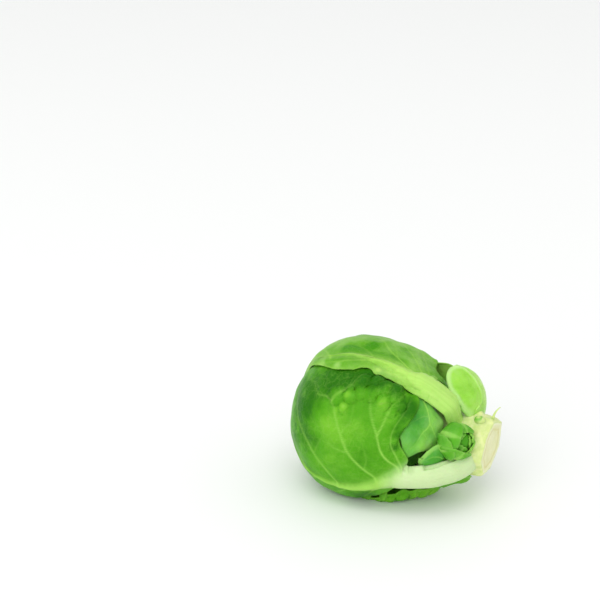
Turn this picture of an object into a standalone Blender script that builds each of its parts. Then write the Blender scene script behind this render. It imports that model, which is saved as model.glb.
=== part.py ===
"""A Brussels sprout as picked and trimmed, lying on its side with the cut stem towards +X.

The head is a tight heart wrapped in separate leaves, each a cupped blade on a thick pale stalk that runs down to the
stem. Small leaves and a leafy side bud sit in the gaps between the stalks. Every leaf is laid over what is already
there, from the heart outwards, so that it clears the leaves under it.

Sizes are in millimetres and angles in degrees; points become metres when an object is made. +Z is up, and the origin
is on the table under the head. A place on the head is given by two angles: phi is measured at the head's centre from
the stem (0) to the tip (180), and theta runs round the stem's axis from the top (0) by the front, -Y (90).
"""

import math
from dataclasses import dataclass

import bmesh
import bpy
import numpy as np
from mathutils import Vector
from mathutils.bvhtree import BVHTree

MM = 0.001

# How the sprout lies
HEAD_FORWARD = 2.0  # the head's centre beyond the middle of the spot that it rests on
HEAD_HEIGHT = 16.8  # and its height above the table
STEM_DIP = 6.0  # the stem's end points this far below level
PRESSED_HEIGHT = 2.0  # the head is pressed flat where its wrapping would reach lower than this

# Leaves
BLADE = 0.65  # thickness of a blade
STALK_ROWS = 3
CLEARANCE = 0.33  # space left between one leaf and the next
LEAST_GAP = 0.2  # the smallest space left after the leaf is bent
MOST_LIFTS = 24  # how often a leaf that still touches another is raised
CUTTER_SIZE = 60.0  # of the block that cuts the lowest leaf flat
SMOOTHINGS = 4
PROBES = (-0.75, -0.35, 0.0, 0.35, 0.75)  # shares of a grid step at which a leaf feels for what is under it

# The stem
STEM_END = 25.6  # from the head's centre to the cut face
STEM_FOOT = 12.9  # where the stem comes out of the heart
CUT_SLANT = 0.07  # the cut face leans towards the front by this much

# Radii at angles phi from the stem: the heart, and the surfaces that the inner and the outer leaves follow
HEART_RADII = ((0, 12.5), (28, 12.8), (50, 12.7), (90, 13.1), (140, 15.3), (180, 15.8))
INNER_RADII = ((14, 20.5), (20, 18.3), (28, 16.4), (40, 14.9), (60, 13.5), (90, 13.8), (140, 16.0), (180, 16.5))
OUTER_RADII = (
    (12, 21.5),
    (14, 20.6),
    (17, 19.2),
    (20, 18.2),
    (28, 16.9),
    (40, 16.3),
    (60, 15.5),
    (80, 15.5),
    (100, 16.1),
    (130, 17.9),
    (160, 18.7),
    (180, 18.6),
)


def unit(vector):
    return np.asarray(vector, float) / np.linalg.norm(vector)


def smooth_value(pairs, at):
    """The value at a place, on a smooth curve through (place, value) pairs."""
    places = np.array([p[0] for p in pairs], float)
    values = np.array([p[1] for p in pairs], float)
    slopes = np.gradient(values, places)
    at = np.clip(at, places[0], places[-1])
    left = np.clip(np.searchsorted(places, at) - 1, 0, len(places) - 2)
    span = places[left + 1] - places[left]
    t = (at - places[left]) / span
    return (
        (1 + 2 * t) * (1 - t) ** 2 * values[left]
        + t * (1 - t) ** 2 * span * slopes[left]
        + t * t * (3 - 2 * t) * values[left + 1]
        + t * t * (t - 1) * span * slopes[left + 1]
    )


class Form:
    """A rounded surface that leaves are bent over: a centre, a pole to measure phi from, and radii at angles phi."""

    def __init__(self, centre, pole, zero, radii, pressed=None):
        self.centre = np.asarray(centre, float)
        self.pole = unit(pole)
        self.zero = unit(np.asarray(zero, float) - np.dot(zero, self.pole) * self.pole)
        self.side = np.cross(self.pole, self.zero)
        self.radii = radii
        self.pressed = pressed

    def direction(self, phi, theta):
        p, t = math.radians(phi), math.radians(theta)
        return math.cos(p) * self.pole + math.sin(p) * (math.cos(t) * self.zero + math.sin(t) * self.side)

    def surface(self, direction):
        """The point of the surface in that direction, and its outward normal."""
        along_pole = float(np.clip(direction @ self.pole, -1, 1))
        phi = math.degrees(math.acos(along_pole))
        radius = smooth_value(self.radii, phi)
        slope = (smooth_value(self.radii, phi + 0.5) - smooth_value(self.radii, phi - 0.5)) / math.radians(1)
        away = direction - along_pole * self.pole
        away /= max(np.linalg.norm(away), 1e-9)
        growing_phi = along_pole * away - math.sin(math.radians(phi)) * self.pole
        point = self.centre + radius * direction
        normal = unit(direction - slope / radius * growing_phi)
        if self.pressed is not None and point[2] < self.pressed:
            point[2] = self.pressed
            normal = np.array([0.0, 0.0, -1.0])
        return point, normal


CENTRE = np.array([HEAD_FORWARD, 0.0, HEAD_HEIGHT])
DIP = math.radians(STEM_DIP)
STEM_WAY = np.array([math.cos(DIP), 0.0, -math.sin(DIP)])
UP_WAY = np.array([math.sin(DIP), 0.0, math.cos(DIP)])
HEART = Form(CENTRE, STEM_WAY, UP_WAY, HEART_RADII)
INNER = Form(CENTRE, STEM_WAY, UP_WAY, INNER_RADII)
OUTER = Form(CENTRE, STEM_WAY, UP_WAY, OUTER_RADII, PRESSED_HEIGHT)


def spoon_form(along, out, theta, slope, cup, turned=0.0):
    """A ball to bend a small leaf over. The leaf's middle is at this distance along the stem's axis and out from it,
    at angle theta. It faces straight out, turned round the stem's axis by this angle and then leaning by the slope
    towards the stem's end."""
    away = HEART.direction(90, theta)
    lean = math.radians(slope)
    facing = math.cos(lean) * HEART.direction(90, theta + turned) + math.sin(lean) * STEM_WAY
    down = math.cos(lean) * STEM_WAY - math.sin(lean) * away
    facing = unit(facing - (facing @ down) * down)
    middle = CENTRE + along * STEM_WAY + out * away
    return Form(middle - cup * facing, down, facing, ((0, cup), (180, cup)))


@dataclass
class Leaf:
    """A leaf laid on a form. Its stalk and midrib run along theta from the stem to the tip.
    Left is towards lower theta and right towards higher theta."""

    name: str
    form: Form
    theta: float
    middle: float  # phi at the middle of the blade
    length: float  # of the blade
    left: float  # half width of the blade
    right: float
    stalk: float = 8.5  # length of the bare stalk
    stalk_width: float = 2.3  # half width
    rib: float = 2.0  # thickness of the stalk
    foot: float = 2.3  # outline towards the stem: 2 is an oval, and more is squarer
    tip: float = 3.2  # outline towards the tip
    ear: float = 0.0  # how far the left side reaches back towards the stem
    lift: float = 0.0  # height over the form
    stalk_lift: float = 1.0  # more height at the stalk's foot
    flare: float = 0.0  # how far the margin stands off, at the blade's foot and sides
    wave: float = 0.0  # height of the waves in the margin
    waves: float = 4.0
    reach: float = 14.0  # how far over the form the leaf feels for what it lies on
    blade: float = BLADE  # thickness
    sunk: float = 0.0  # how far under the table the leaf would reach before it is cut flat
    rows: int = 12
    columns: int = 13


def flat_leaf(leaf):
    """The leaf before it is bent: across and along for each point, row by row from the stalk's foot to the tip, with
    its shares of the stalk's length, the blade's length and the width, which goes from -1 on the left to 1."""
    half = leaf.columns // 2
    shares = [math.copysign(abs(k / half) ** 1.5, k) for k in range(half, -half - 1, -1)]
    across, along, stalkwise, lengthwise, sideways = [], [], [], [], []
    for row in range(-STALK_ROWS, leaf.rows + 1):
        s = max(row, 0) / leaf.rows
        down = min(row, 0) / STALK_ROWS
        turn = math.pi * 0.97 * s
        square = leaf.foot if s < 0.5 else leaf.tip
        reach = math.sin(turn) ** (2 / square)
        bend = math.copysign(abs(math.cos(turn)) ** (2 / square), math.cos(turn))
        middle = leaf.length * s ** 0.9 + leaf.stalk * down
        margin = leaf.length * (1 - bend) / 2 + leaf.stalk * down
        least = leaf.stalk_width * (1 - s) * (1 + 0.25 * down * down)
        for v in shares:
            width = max((leaf.right if v > 0 else leaf.left) * reach, least)
            across.append(width * v)
            ear = leaf.ear * math.exp(-(((s - 0.36) / 0.16) ** 2)) * (v < 0)
            along.append(middle + (margin - ear - middle) * abs(v) ** 1.3)
            stalkwise.append(-down)
            lengthwise.append(s)
            sideways.append(v)
    return (np.array(a) for a in (across, along, stalkwise, lengthwise, sideways))


def bent(leaf, across, along):
    """Points and normals of the form where the flat leaf's points fall: distances from the blade's middle are kept."""
    form = leaf.form
    radius = smooth_value(form.radii, 90)
    half = leaf.length / 2
    middle = form.direction(leaf.middle, leaf.theta)
    to_tip = form.direction(leaf.middle + 90, leaf.theta)
    to_right = np.cross(middle, to_tip)
    points, normals = [], []
    for x, y in zip(across, along - half):
        away = math.hypot(x, y)
        angle = away / radius
        way = (x * to_right + y * to_tip) / max(away, 1e-9)
        point, normal = form.surface(math.cos(angle) * middle + math.sin(angle) * way)
        points.append(point)
        normals.append(normal)
    return np.array(points), np.array(normals)


def covered_height(point, normal, trees, reach):
    """How high over a point of the form the topmost of the meshes already there stands, or a large negative value."""
    start = Vector((point + reach * normal) * MM)
    way = Vector(-normal)
    highest = -reach
    for tree in trees:
        hit = tree.ray_cast(start, way, 1.25 * reach * MM)
        if hit[0] is not None:
            highest = max(highest, reach - hit[3] / MM)
    return highest


def between(grid, rowwise, columnwise):
    """The grid's values at places beside its points, by this share of a row and of a column."""
    rows, columns = grid.shape[:2]
    row = np.clip(np.arange(rows) + rowwise, 0, rows - 1)
    column = np.clip(np.arange(columns) + columnwise, 0, columns - 1)
    r = np.minimum(row.astype(int), rows - 2)
    c = np.minimum(column.astype(int), columns - 2)
    down = (row - r)[:, None, None]
    over = (column - c)[None, :, None]
    upper = (1 - over) * grid[r][:, c] + over * grid[r][:, c + 1]
    lower = (1 - over) * grid[r + 1][:, c] + over * grid[r + 1][:, c + 1]
    return ((1 - down) * upper + down * lower).reshape(-1, grid.shape[2])


def draped(points, normals, shape, wanted, trees, reach):
    """Heights over the form that keep the leaf clear of what is under it and smooth over the steps."""
    least = np.full(len(points), -1e3)
    for rowwise in PROBES:
        for columnwise in PROBES:
            beside = between(points.reshape(*shape, 3), rowwise, columnwise)
            facing = between(normals.reshape(*shape, 3), rowwise, columnwise)
            found = [covered_height(p, unit(n), trees, reach) for p, n in zip(beside, facing)]
            least = np.maximum(least, np.array(found) + CLEARANCE)
    least = least.reshape(shape)
    height = np.maximum(wanted.reshape(shape), least)
    for _ in range(SMOOTHINGS):
        padded = np.pad(height, 1, mode="edge")
        mean = (padded[:-2, 1:-1] + padded[2:, 1:-1] + padded[1:-1, :-2] + padded[1:-1, 2:]) / 4
        height = np.maximum(0.5 * (height + mean), least)
    return height.ravel()


def wanted_height(leaf, stalkwise, lengthwise, sideways):
    """The height that the leaf would have by itself: its lift, its flaring foot and the waves of its margin."""
    edge = np.clip((abs(sideways) - 0.45) / 0.55, 0, 1) ** 2
    foot = np.exp(-((lengthwise / 0.2) ** 2)) * (lengthwise > 0)
    waves = np.sin(2 * math.pi * leaf.waves * lengthwise + 2.0 * (sideways > 0))
    return leaf.lift + leaf.stalk_lift * stalkwise**3 + leaf.flare * edge * foot + leaf.wave * edge * waves


def thickness(leaf, across, stalkwise, lengthwise):
    """The blade's thickness, with the midrib thickest in the stalk and fading to the tip and into the stem."""
    rib = leaf.blade + (leaf.rib - leaf.blade) * (1 - lengthwise) ** 1.6 * (1 - 0.8 * stalkwise**3)
    half_width = leaf.stalk_width * (1.05 - 0.75 * lengthwise)
    round_over = np.sqrt(np.clip(1 - (across / (1.15 * half_width)) ** 2, 0, 1))
    return leaf.blade + (rib - leaf.blade) * round_over


def new_object(name, mesh, colour, collection):
    obj = bpy.data.objects.new(name, mesh)
    material = bpy.data.materials.get(colour[0])
    if material is None:
        material = bpy.data.materials.new(colour[0])
        material.use_nodes = True
        shader = material.node_tree.nodes["Principled BSDF"]
        shader.inputs["Base Color"].default_value = (*colour[1], 1)
        shader.inputs["Roughness"].default_value = colour[2]
        shader.inputs["Metallic"].default_value = 0.0
    mesh.materials.append(material)
    collection.objects.link(obj)
    return obj


def leaf_object(leaf, trees, colour, collection):
    """The leaf as a sheet of triangles with a Solidify modifier, whose thickness a vertex group varies."""
    across, along, stalkwise, lengthwise, sideways = flat_leaf(leaf)
    rows, columns = leaf.rows + STALK_ROWS + 1, leaf.columns
    points, normals = bent(leaf, across, along)
    wanted = wanted_height(leaf, stalkwise, lengthwise, sideways)
    height = draped(points, normals, (rows, columns), wanted, trees, leaf.reach)
    triangles = []
    for row in range(rows - 1):
        for column in range(columns - 1):
            a = row * columns + column
            b, c, d = a + 1, a + columns + 1, a + columns
            even = (row + column) % 2 == 0
            triangles += [(a, b, c), (a, c, d)] if even else [(a, b, d), (b, c, d)]
    thick = thickness(leaf, across, stalkwise, lengthwise)
    inner = cleared(points, normals, height, thick - leaf.sunk, triangles, trees)
    mesh = bpy.data.meshes.new(leaf.name)
    mesh.from_pydata(inner * MM, [], triangles)
    mesh.shade_smooth()
    obj = new_object(leaf.name, mesh, colour, collection)
    group = obj.vertex_groups.new(name="thickness")
    for index, value in enumerate(thick):
        group.add([index], float(value / thick.max()), "REPLACE")
    solid = obj.modifiers.new("Thickness", "SOLIDIFY")
    solid.thickness = float(thick.max()) * MM
    solid.offset = 1.0
    solid.vertex_group = group.name
    return obj


def cleared(points, normals, height, lowest, triangles, trees):
    """The sheet's points, raised bit by bit wherever a triangle still touches what is under it, and kept above these
    lowest heights over the table."""
    for _ in range(MOST_LIFTS):
        inner = points + height[:, None] * normals
        inner[:, 2] = np.maximum(inner[:, 2], lowest)
        below = (inner - LEAST_GAP * normals) * MM
        sheet = BVHTree.FromPolygons([Vector(p) for p in below], triangles)
        touching = {pair[0] for tree in trees for pair in sheet.overlap(tree)}
        if not touching:
            break
        raised = sorted({vertex for index in touching for vertex in triangles[index]})
        height[raised] += LEAST_GAP / 2
    return inner


def cut_flat(obj):
    """Cuts away what would be under the table, which leaves the flat spot that the sprout rests on."""
    cutters = bpy.data.collections.new("cutters")
    cutters.hide_render = True
    bpy.context.scene.collection.children.link(cutters)
    block = bmesh.new()
    bmesh.ops.create_cube(block, size=CUTTER_SIZE * MM)
    bmesh.ops.translate(block, vec=(0, 0, -CUTTER_SIZE / 2 * MM), verts=block.verts[:])
    mesh = bpy.data.meshes.new("table_cutter")
    block.to_mesh(mesh)
    block.free()
    cutter = bpy.data.objects.new("table_cutter", mesh)
    cutter.hide_render = True
    cutter.display_type = "WIRE"
    cutters.objects.link(cutter)
    cut = obj.modifiers.new("Rest", "BOOLEAN")
    cut.operation = "DIFFERENCE"
    cut.object = cutter


def tree_of(obj):
    """What has been built so far of an object, for the next leaf to lie on."""
    bpy.context.view_layer.update()
    return BVHTree.FromObject(obj, bpy.context.evaluated_depsgraph_get())


STEM_COLOUR = ("pale_stem", (0.72, 0.76, 0.42), 0.55)
HEART_COLOUR = ("heart_green", (0.42, 0.62, 0.12), 0.4)
LEAF_COLOUR = ("leaf_green", (0.14, 0.42, 0.05), 0.38)
SMALL_COLOUR = ("young_green", (0.2, 0.45, 0.09), 0.4)

# The stem's outline, from the cut face inwards: along the axis and out from it
STEM_OUTLINE = ((25.6, 5.7), (25.3, 6.2), (24.2, 6.4), (22.8, 6.0), (21.2, 5.0), (18.8, 4.7), (16.6, 5.4), (12.9, 7.6))
# Scars of the leaves trimmed away, and one sleeping bud: along, theta, height, length, width
STEM_BUMPS = (
    (22.6, 75, 0.7, 1.6, 3.2),
    (22.0, 205, 0.8, 1.5, 3.4),
    (22.4, 330, 0.7, 1.6, 3.0),
    (21.9, 2, 1.2, 1.1, 1.4),
)
STEM_STEPS = 28

# Leaves round the side bud: angle round it, and how far round the bud from its foot its middle stands
BUD_LEAVES = ((0, 95), (130, 90), (230, 85), (60, 80), (300, 75), (180, 70))


def stem_bump(along, theta):
    height = 0.0
    for at, angle, tall, length, width in STEM_BUMPS:
        apart = math.radians((theta - angle + 180) % 360 - 180) * STEM_OUTLINE[0][1]
        height += tall * math.exp(-(((along - at) / length) ** 2) - (apart / width) ** 2)
    return height


def make_stem(collection):
    """The stem: an outline turned round the axis, with bumps, and a slanting cut."""
    profile = bpy.data.meshes.new("stem")
    outline = [(STEM_END, 0.0), *STEM_OUTLINE, (STEM_FOOT, 0.0)]
    profile.from_pydata([(r * MM, 0, x * MM) for x, r in outline], [(i, i + 1) for i in range(len(outline) - 1)], [])
    turned = new_object("stem", profile, STEM_COLOUR, collection)
    screw = turned.modifiers.new("Turn", "SCREW")
    screw.steps = screw.render_steps = STEM_STEPS
    screw.use_merge_vertices = True
    screw.merge_threshold = 0.1 * MM
    bpy.context.view_layer.update()
    mesh = bpy.data.meshes.new_from_object(turned.evaluated_get(bpy.context.evaluated_depsgraph_get()))
    turned.modifiers.clear()
    turned.data = mesh
    for vertex in mesh.vertices:
        x, y, along = vertex.co / MM
        out = math.hypot(x, y)
        theta = math.degrees(math.atan2(y, x))
        if out > 1:
            out += stem_bump(along, theta) * min(1, (STEM_END + 0.4 - along) / 1.5)
        along -= CUT_SLANT * out * math.sin(math.radians(theta)) * (along / STEM_END) ** 12
        place = CENTRE + along * STEM_WAY + out * HEART.direction(90, theta)
        vertex.co = Vector(place * MM)
    mesh.shade_smooth()
    mesh.set_sharp_from_angle(angle=math.radians(50))
    return turned


def make_heart(collection):
    """The tight heart of the head, which the leaves hide: a ball shaped by its radii."""
    ball = bmesh.new()
    bmesh.ops.create_uvsphere(ball, u_segments=28, v_segments=16, radius=1.0)
    for vertex in ball.verts:
        direction = vertex.co.z * HEART.pole + vertex.co.x * HEART.zero + vertex.co.y * HEART.side
        vertex.co = Vector(HEART.surface(unit(direction))[0] * MM)
    mesh = bpy.data.meshes.new("heart")
    ball.to_mesh(mesh)
    ball.free()
    mesh.shade_smooth()
    return new_object("heart", mesh, HEART_COLOUR, collection)


def make_bud(name, form, size, turns, collection):
    """A leafy side bud: a small ball with cupped leaves overlapping round it, joined in one body."""
    parts = bpy.data.collections.new(name + " leaves")
    bpy.context.scene.collection.children.link(parts)
    ball = bmesh.new()
    bmesh.ops.create_uvsphere(ball, u_segments=12, v_segments=8, radius=0.9 * size * MM)
    bmesh.ops.translate(ball, vec=Vector(form.centre * MM), verts=ball.verts[:])
    mesh = bpy.data.meshes.new(name)
    ball.to_mesh(mesh)
    ball.free()
    mesh.shade_smooth()
    core = new_object(name, mesh, SMALL_COLOUR, collection)
    for number, (angle, middle) in enumerate(turns):
        petal = Leaf(
            f"{name}_leaf_{number}", form, angle, middle, 1.7 * size, 0.8 * size, 0.8 * size,
            stalk=0.3 * size, stalk_width=0.3 * size, rib=0.7, tip=2.3, lift=-0.26 * size + 0.04 * number,
            stalk_lift=0.0, flare=0.0, rows=5, columns=7,
        )
        leaf_object(petal, [], SMALL_COLOUR, parts)
    join(core, parts)
    return core


def join(core, parts):
    """Unites a collection's objects with an object and removes them."""
    union = core.modifiers.new("Union", "BOOLEAN")
    union.operation = "UNION"
    union.operand_type = "COLLECTION"
    union.collection = parts
    bpy.context.view_layer.update()
    mesh = bpy.data.meshes.new_from_object(core.evaluated_get(bpy.context.evaluated_depsgraph_get()))
    core.modifiers.clear()
    core.data = mesh
    for obj in list(parts.objects):
        bpy.data.objects.remove(obj)
    bpy.data.collections.remove(parts)


def main():
    for obj in list(bpy.data.objects):
        bpy.data.objects.remove(obj)
    sprout = bpy.data.collections.new("Brussels sprout")
    bpy.context.scene.collection.children.link(sprout)

    trees = [tree_of(make_stem(sprout)), tree_of(make_heart(sprout))]

    inner = (
        Leaf("inner_leaf_low", INNER, 190, 118, 32, 18, 18, 2.5, rib=1.4, stalk_lift=0, rows=10, columns=11),
        Leaf("inner_leaf_back", INNER, 315, 118, 32, 17, 18, 2.5, rib=1.4, stalk_lift=0, rows=10, columns=11),
        Leaf("inner_leaf_front", INNER, 70, 112, 32, 18, 18, 2.5, rib=1.4, stalk_lift=0, rows=10, columns=11),
    )
    small = (
        Leaf(
            "window_leaf", spoon_form(12.0, 11.8, 64, 40, 12.0), 0, 90, 10.0, 6.6, 6.6,
            stalk=0.8, stalk_width=1.2, rib=1.2, tip=2.4, stalk_lift=0.0, rows=7, columns=9,
        ),
        Leaf(
            "curled_leaf", spoon_form(15.4, 10.8, 96, 30, 6.0), 0, 90, 5.6, 2.4, 2.6,
            stalk=0.6, stalk_width=0.8, rib=0.9, tip=2.2, stalk_lift=0.0, rows=5, columns=7,
        ),
    )
    back_low = Leaf("leaf_back_low", OUTER, 250, 114, 36, 20, 17, stalk=9.5, rib=1.5, flare=0.5, wave=0.2)
    under = Leaf("leaf_under", OUTER, 204, 98, 35, 17, 16, 6, rib=1.4, flare=0.5, wave=0.2, blade=0.95, sunk=0.3)
    outer = (
        Leaf(
            "leaf_front", OUTER, 113, 117, 37, 23, 11.8, 10.1, 2.6, 2.7,
            foot=2.1, tip=3.6, ear=3.0, stalk_lift=0.8, wave=0.1, rows=13,
        ),
        Leaf("leaf_back_high", OUTER, 303, 112, 36, 17, 16, stalk=9.2, rib=1.5, flare=1.2, wave=0.1),
        Leaf("leaf_top", OUTER, 23, 114, 36, 22, 3.6, 9.4, 2.4, 2.5, tip=2.5, stalk_lift=0.0, wave=0.1, rows=13),
    )
    for leaf in inner:
        trees.append(tree_of(leaf_object(leaf, trees, HEART_COLOUR, sprout)))
    for leaf in small:
        trees.append(tree_of(leaf_object(leaf, trees, SMALL_COLOUR, sprout)))
    bud = make_bud("side_bud", spoon_form(21.3, 11.7, 67, 28, 3.3), 3.3, BUD_LEAVES, sprout)
    trees.append(tree_of(bud))
    trees.append(tree_of(leaf_object(back_low, trees, LEAF_COLOUR, sprout)))
    lowest = leaf_object(under, trees, LEAF_COLOUR, sprout)
    cut_flat(lowest)
    trees.append(tree_of(lowest))
    for leaf in outer:
        trees.append(tree_of(leaf_object(leaf, trees, LEAF_COLOUR, sprout)))
    spoon = Leaf(
        "spoon_leaf", spoon_form(18.0, 11.8, -13, 50, 9.5, turned=38), 0, 90, 10.6, 6.6, 5.2,
        stalk=0.3, stalk_width=1.6, rib=1.3, tip=2.3, stalk_lift=0.0, reach=2.0, rows=7, columns=9,
    )
    trees.append(tree_of(leaf_object(spoon, trees, SMALL_COLOUR, sprout)))


main()
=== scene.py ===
"""Looks of the Brussels sprout: every solid of the frame is replaced by a finer piece of the same form.

The forms and the flat shapes of the leaves are those of the solids. Here each leaf is a fine sheet with a rounded
margin, a midrib, forking veins, quilted fields between them and its own ruffles, and it is laid over the fine leaves
under it. Sizes are in millimetres and angles in degrees; points become metres when an object is made.
"""

import math
from dataclasses import dataclass

import bpy
import numpy as np
from mathutils import Matrix, Vector, noise
from mathutils.bvhtree import BVHTree


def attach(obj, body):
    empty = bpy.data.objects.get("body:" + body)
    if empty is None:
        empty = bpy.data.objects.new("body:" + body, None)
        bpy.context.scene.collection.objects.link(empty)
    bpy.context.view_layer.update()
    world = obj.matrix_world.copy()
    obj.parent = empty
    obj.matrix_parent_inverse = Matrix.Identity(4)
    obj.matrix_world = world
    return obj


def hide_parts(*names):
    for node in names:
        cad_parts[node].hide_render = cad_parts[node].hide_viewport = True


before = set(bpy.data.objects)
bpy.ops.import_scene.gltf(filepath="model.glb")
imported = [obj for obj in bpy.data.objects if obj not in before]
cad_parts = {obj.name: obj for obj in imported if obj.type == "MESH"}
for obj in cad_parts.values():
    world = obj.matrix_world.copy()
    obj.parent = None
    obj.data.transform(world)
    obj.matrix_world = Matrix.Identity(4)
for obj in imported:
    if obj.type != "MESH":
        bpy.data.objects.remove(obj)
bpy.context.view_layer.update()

MM = 0.001

# How the sprout lies
HEAD_FORWARD = 2.0
HEAD_HEIGHT = 16.8
STEM_DIP = 6.0
PRESSED_HEIGHT = 1.6
PRESSED_SOFTLY = 0.5  # how gradually the head becomes flat there

# Leaves
TABLE = 0.0
BLADE = 0.5
THINNEST = 0.3
GAP = 0.13
REACH = 14.0
FAR = 1e3  # stands for no distance at all being near
EDGE_SHARE = 0.5  # thickness of the margin as a share of the blade's
EDGE_FADE = 1.6  # distance over which the blade thins towards its margin
WAVES = 4.0  # waves of a margin along the leaf
SMALL_LEAF = 20.0  # shorter leaves have a plain tapering midrib
LARGE_LEAF = 36.0  # length of the leaves that the widths of veins and midrib are given for
# For smoothing a leaf over what is under it, its margins that lie close, and its stalk, in grid steps
SPREADS, CLOSE_SPREADS, STALK_SPREADS = (12, 8, 5, 3, 2), (4, 2), (9, 5, 3)
CLOSE_LIMIT = 2.6  # how far a margin that lies close may sink below its own height
STIFF_SHARE, STIFF_WIDTH = 0.13, 2.8  # where the midrib doesn't bend: share of the length, widths of the stalk
FORKS = (0.34, 0.52, 0.68, 0.82)  # where side veins fork, in shares of the leaf's half width
QUILT_WIDTH = 1.5  # distance from a vein at which the field between veins has risen
BLISTER_WARP, BLISTER_RISE, BLISTER_SOFTNESS = 1.05, 1.15, 0.7
CREASE_HEIGHT, CREASE_SHADE = 0.45, 0.75  # painted shade in the creases between blisters, up to this height, by this amount

# The stem
STEM_END = 25.6
CUT_SLANT = 0.07

# Forms that the leaves are bent over: angles from the stem's axis at the head's centre, and radii there
HEART_RADII = ((0, 12.5), (28, 12.8), (50, 12.7), (90, 13.1), (140, 15.3), (180, 15.8))
INNER_RADII = ((14, 20.5), (20, 18.3), (28, 16.4), (40, 14.9), (60, 13.5), (90, 13.8), (140, 16.0), (180, 16.5))
OUTER_NECK = ((12, 21.5), (14, 20.6), (17, 19.2), (20, 18.2), (28, 17.0), (40, 16.6))
OUTER_HEAD = ((60, 16.0), (80, 16.1), (100, 16.7), (130, 18.5), (160, 19.2), (180, 19.1))
COLLAR_NECK = ((8, 23.8), (16, 22.4), (22, 20.6), (30, 18.4), (42, 17.0))  # where stalks run out to the stump


def unit(vector):
    return np.asarray(vector, float) / np.linalg.norm(vector)


def units(vectors):
    return vectors / np.maximum(np.linalg.norm(vectors, axis=-1, keepdims=True), 1e-9)


def smooth_value(pairs, at):
    """The value at a place, on a smooth curve through (place, value) pairs."""
    places = np.array([p[0] for p in pairs], float)
    values = np.array([p[1] for p in pairs], float)
    slopes = np.gradient(values, places)
    at = np.clip(at, places[0], places[-1])
    left = np.clip(np.searchsorted(places, at) - 1, 0, len(places) - 2)
    span = places[left + 1] - places[left]
    t = (at - places[left]) / span
    return (
        (1 + 2 * t) * (1 - t) ** 2 * values[left]
        + t * (1 - t) ** 2 * span * slopes[left]
        + t * t * (3 - 2 * t) * values[left + 1]
        + t * t * (t - 1) * span * slopes[left + 1]
    )


class Form:
    """A rounded surface that leaves are bent over: a centre, a pole to measure phi from, and radii at angles phi."""

    def __init__(self, centre, pole, zero, radii, pressed=None):
        self.centre = np.asarray(centre, float)
        self.pole = unit(pole)
        self.zero = unit(np.asarray(zero, float) - np.dot(zero, self.pole) * self.pole)
        self.side = np.cross(self.pole, self.zero)
        self.radii = radii
        self.pressed = pressed

    def direction(self, phi, theta):
        p, t = math.radians(phi), math.radians(theta)
        return math.cos(p) * self.pole + math.sin(p) * (math.cos(t) * self.zero + math.sin(t) * self.side)

    def surface(self, directions):
        """The points of the surface in those directions, and its outward normals."""
        along_pole = np.clip(directions @ self.pole, -1, 1)
        phi = np.degrees(np.arccos(along_pole))
        radius = smooth_value(self.radii, phi)
        slope = (smooth_value(self.radii, phi + 0.5) - smooth_value(self.radii, phi - 0.5)) / math.radians(1)
        away = units(directions - along_pole[:, None] * self.pole)
        growing_phi = along_pole[:, None] * away - np.sin(np.radians(phi))[:, None] * self.pole
        points = self.centre + radius[:, None] * directions
        normals = units(directions - (slope / radius)[:, None] * growing_phi)
        if self.pressed is not None:
            below = (points[:, 2] - self.pressed) / 2
            root = np.sqrt(below**2 + PRESSED_SOFTLY**2)
            points[:, 2] = self.pressed + below + root - PRESSED_SOFTLY
            kept = 0.5 + 0.5 * below / root
            normals = units(normals * np.stack([kept, kept, np.ones_like(kept)], 1))
        return points, normals


CENTRE = np.array([HEAD_FORWARD, 0.0, HEAD_HEIGHT])
DIP = math.radians(STEM_DIP)
STEM_WAY = np.array([math.cos(DIP), 0.0, -math.sin(DIP)])
UP_WAY = np.array([math.sin(DIP), 0.0, math.cos(DIP)])
HEART = Form(CENTRE, STEM_WAY, UP_WAY, HEART_RADII)
INNER = Form(CENTRE, STEM_WAY, UP_WAY, INNER_RADII)
OUTER = Form(CENTRE, STEM_WAY, UP_WAY, OUTER_NECK + OUTER_HEAD, PRESSED_HEIGHT)
COLLARED = Form(CENTRE, STEM_WAY, UP_WAY, COLLAR_NECK + OUTER_HEAD, PRESSED_HEIGHT)


def spoon_form(along, out, theta, slope, cup, turned=0.0):
    """A ball to bend a small leaf over. The leaf's middle is at this distance along the stem's axis and out from it,
    at angle theta. It faces straight out, turned round the stem's axis by this angle and then leaning by the slope
    towards the stem's end."""
    away = HEART.direction(90, theta)
    lean = math.radians(slope)
    facing = math.cos(lean) * HEART.direction(90, theta + turned) + math.sin(lean) * STEM_WAY
    down = math.cos(lean) * STEM_WAY - math.sin(lean) * away
    facing = unit(facing - (facing @ down) * down)
    middle = CENTRE + along * STEM_WAY + out * away
    return Form(middle - cup * facing, down, facing, ((0, cup), (180, cup)))


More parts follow.
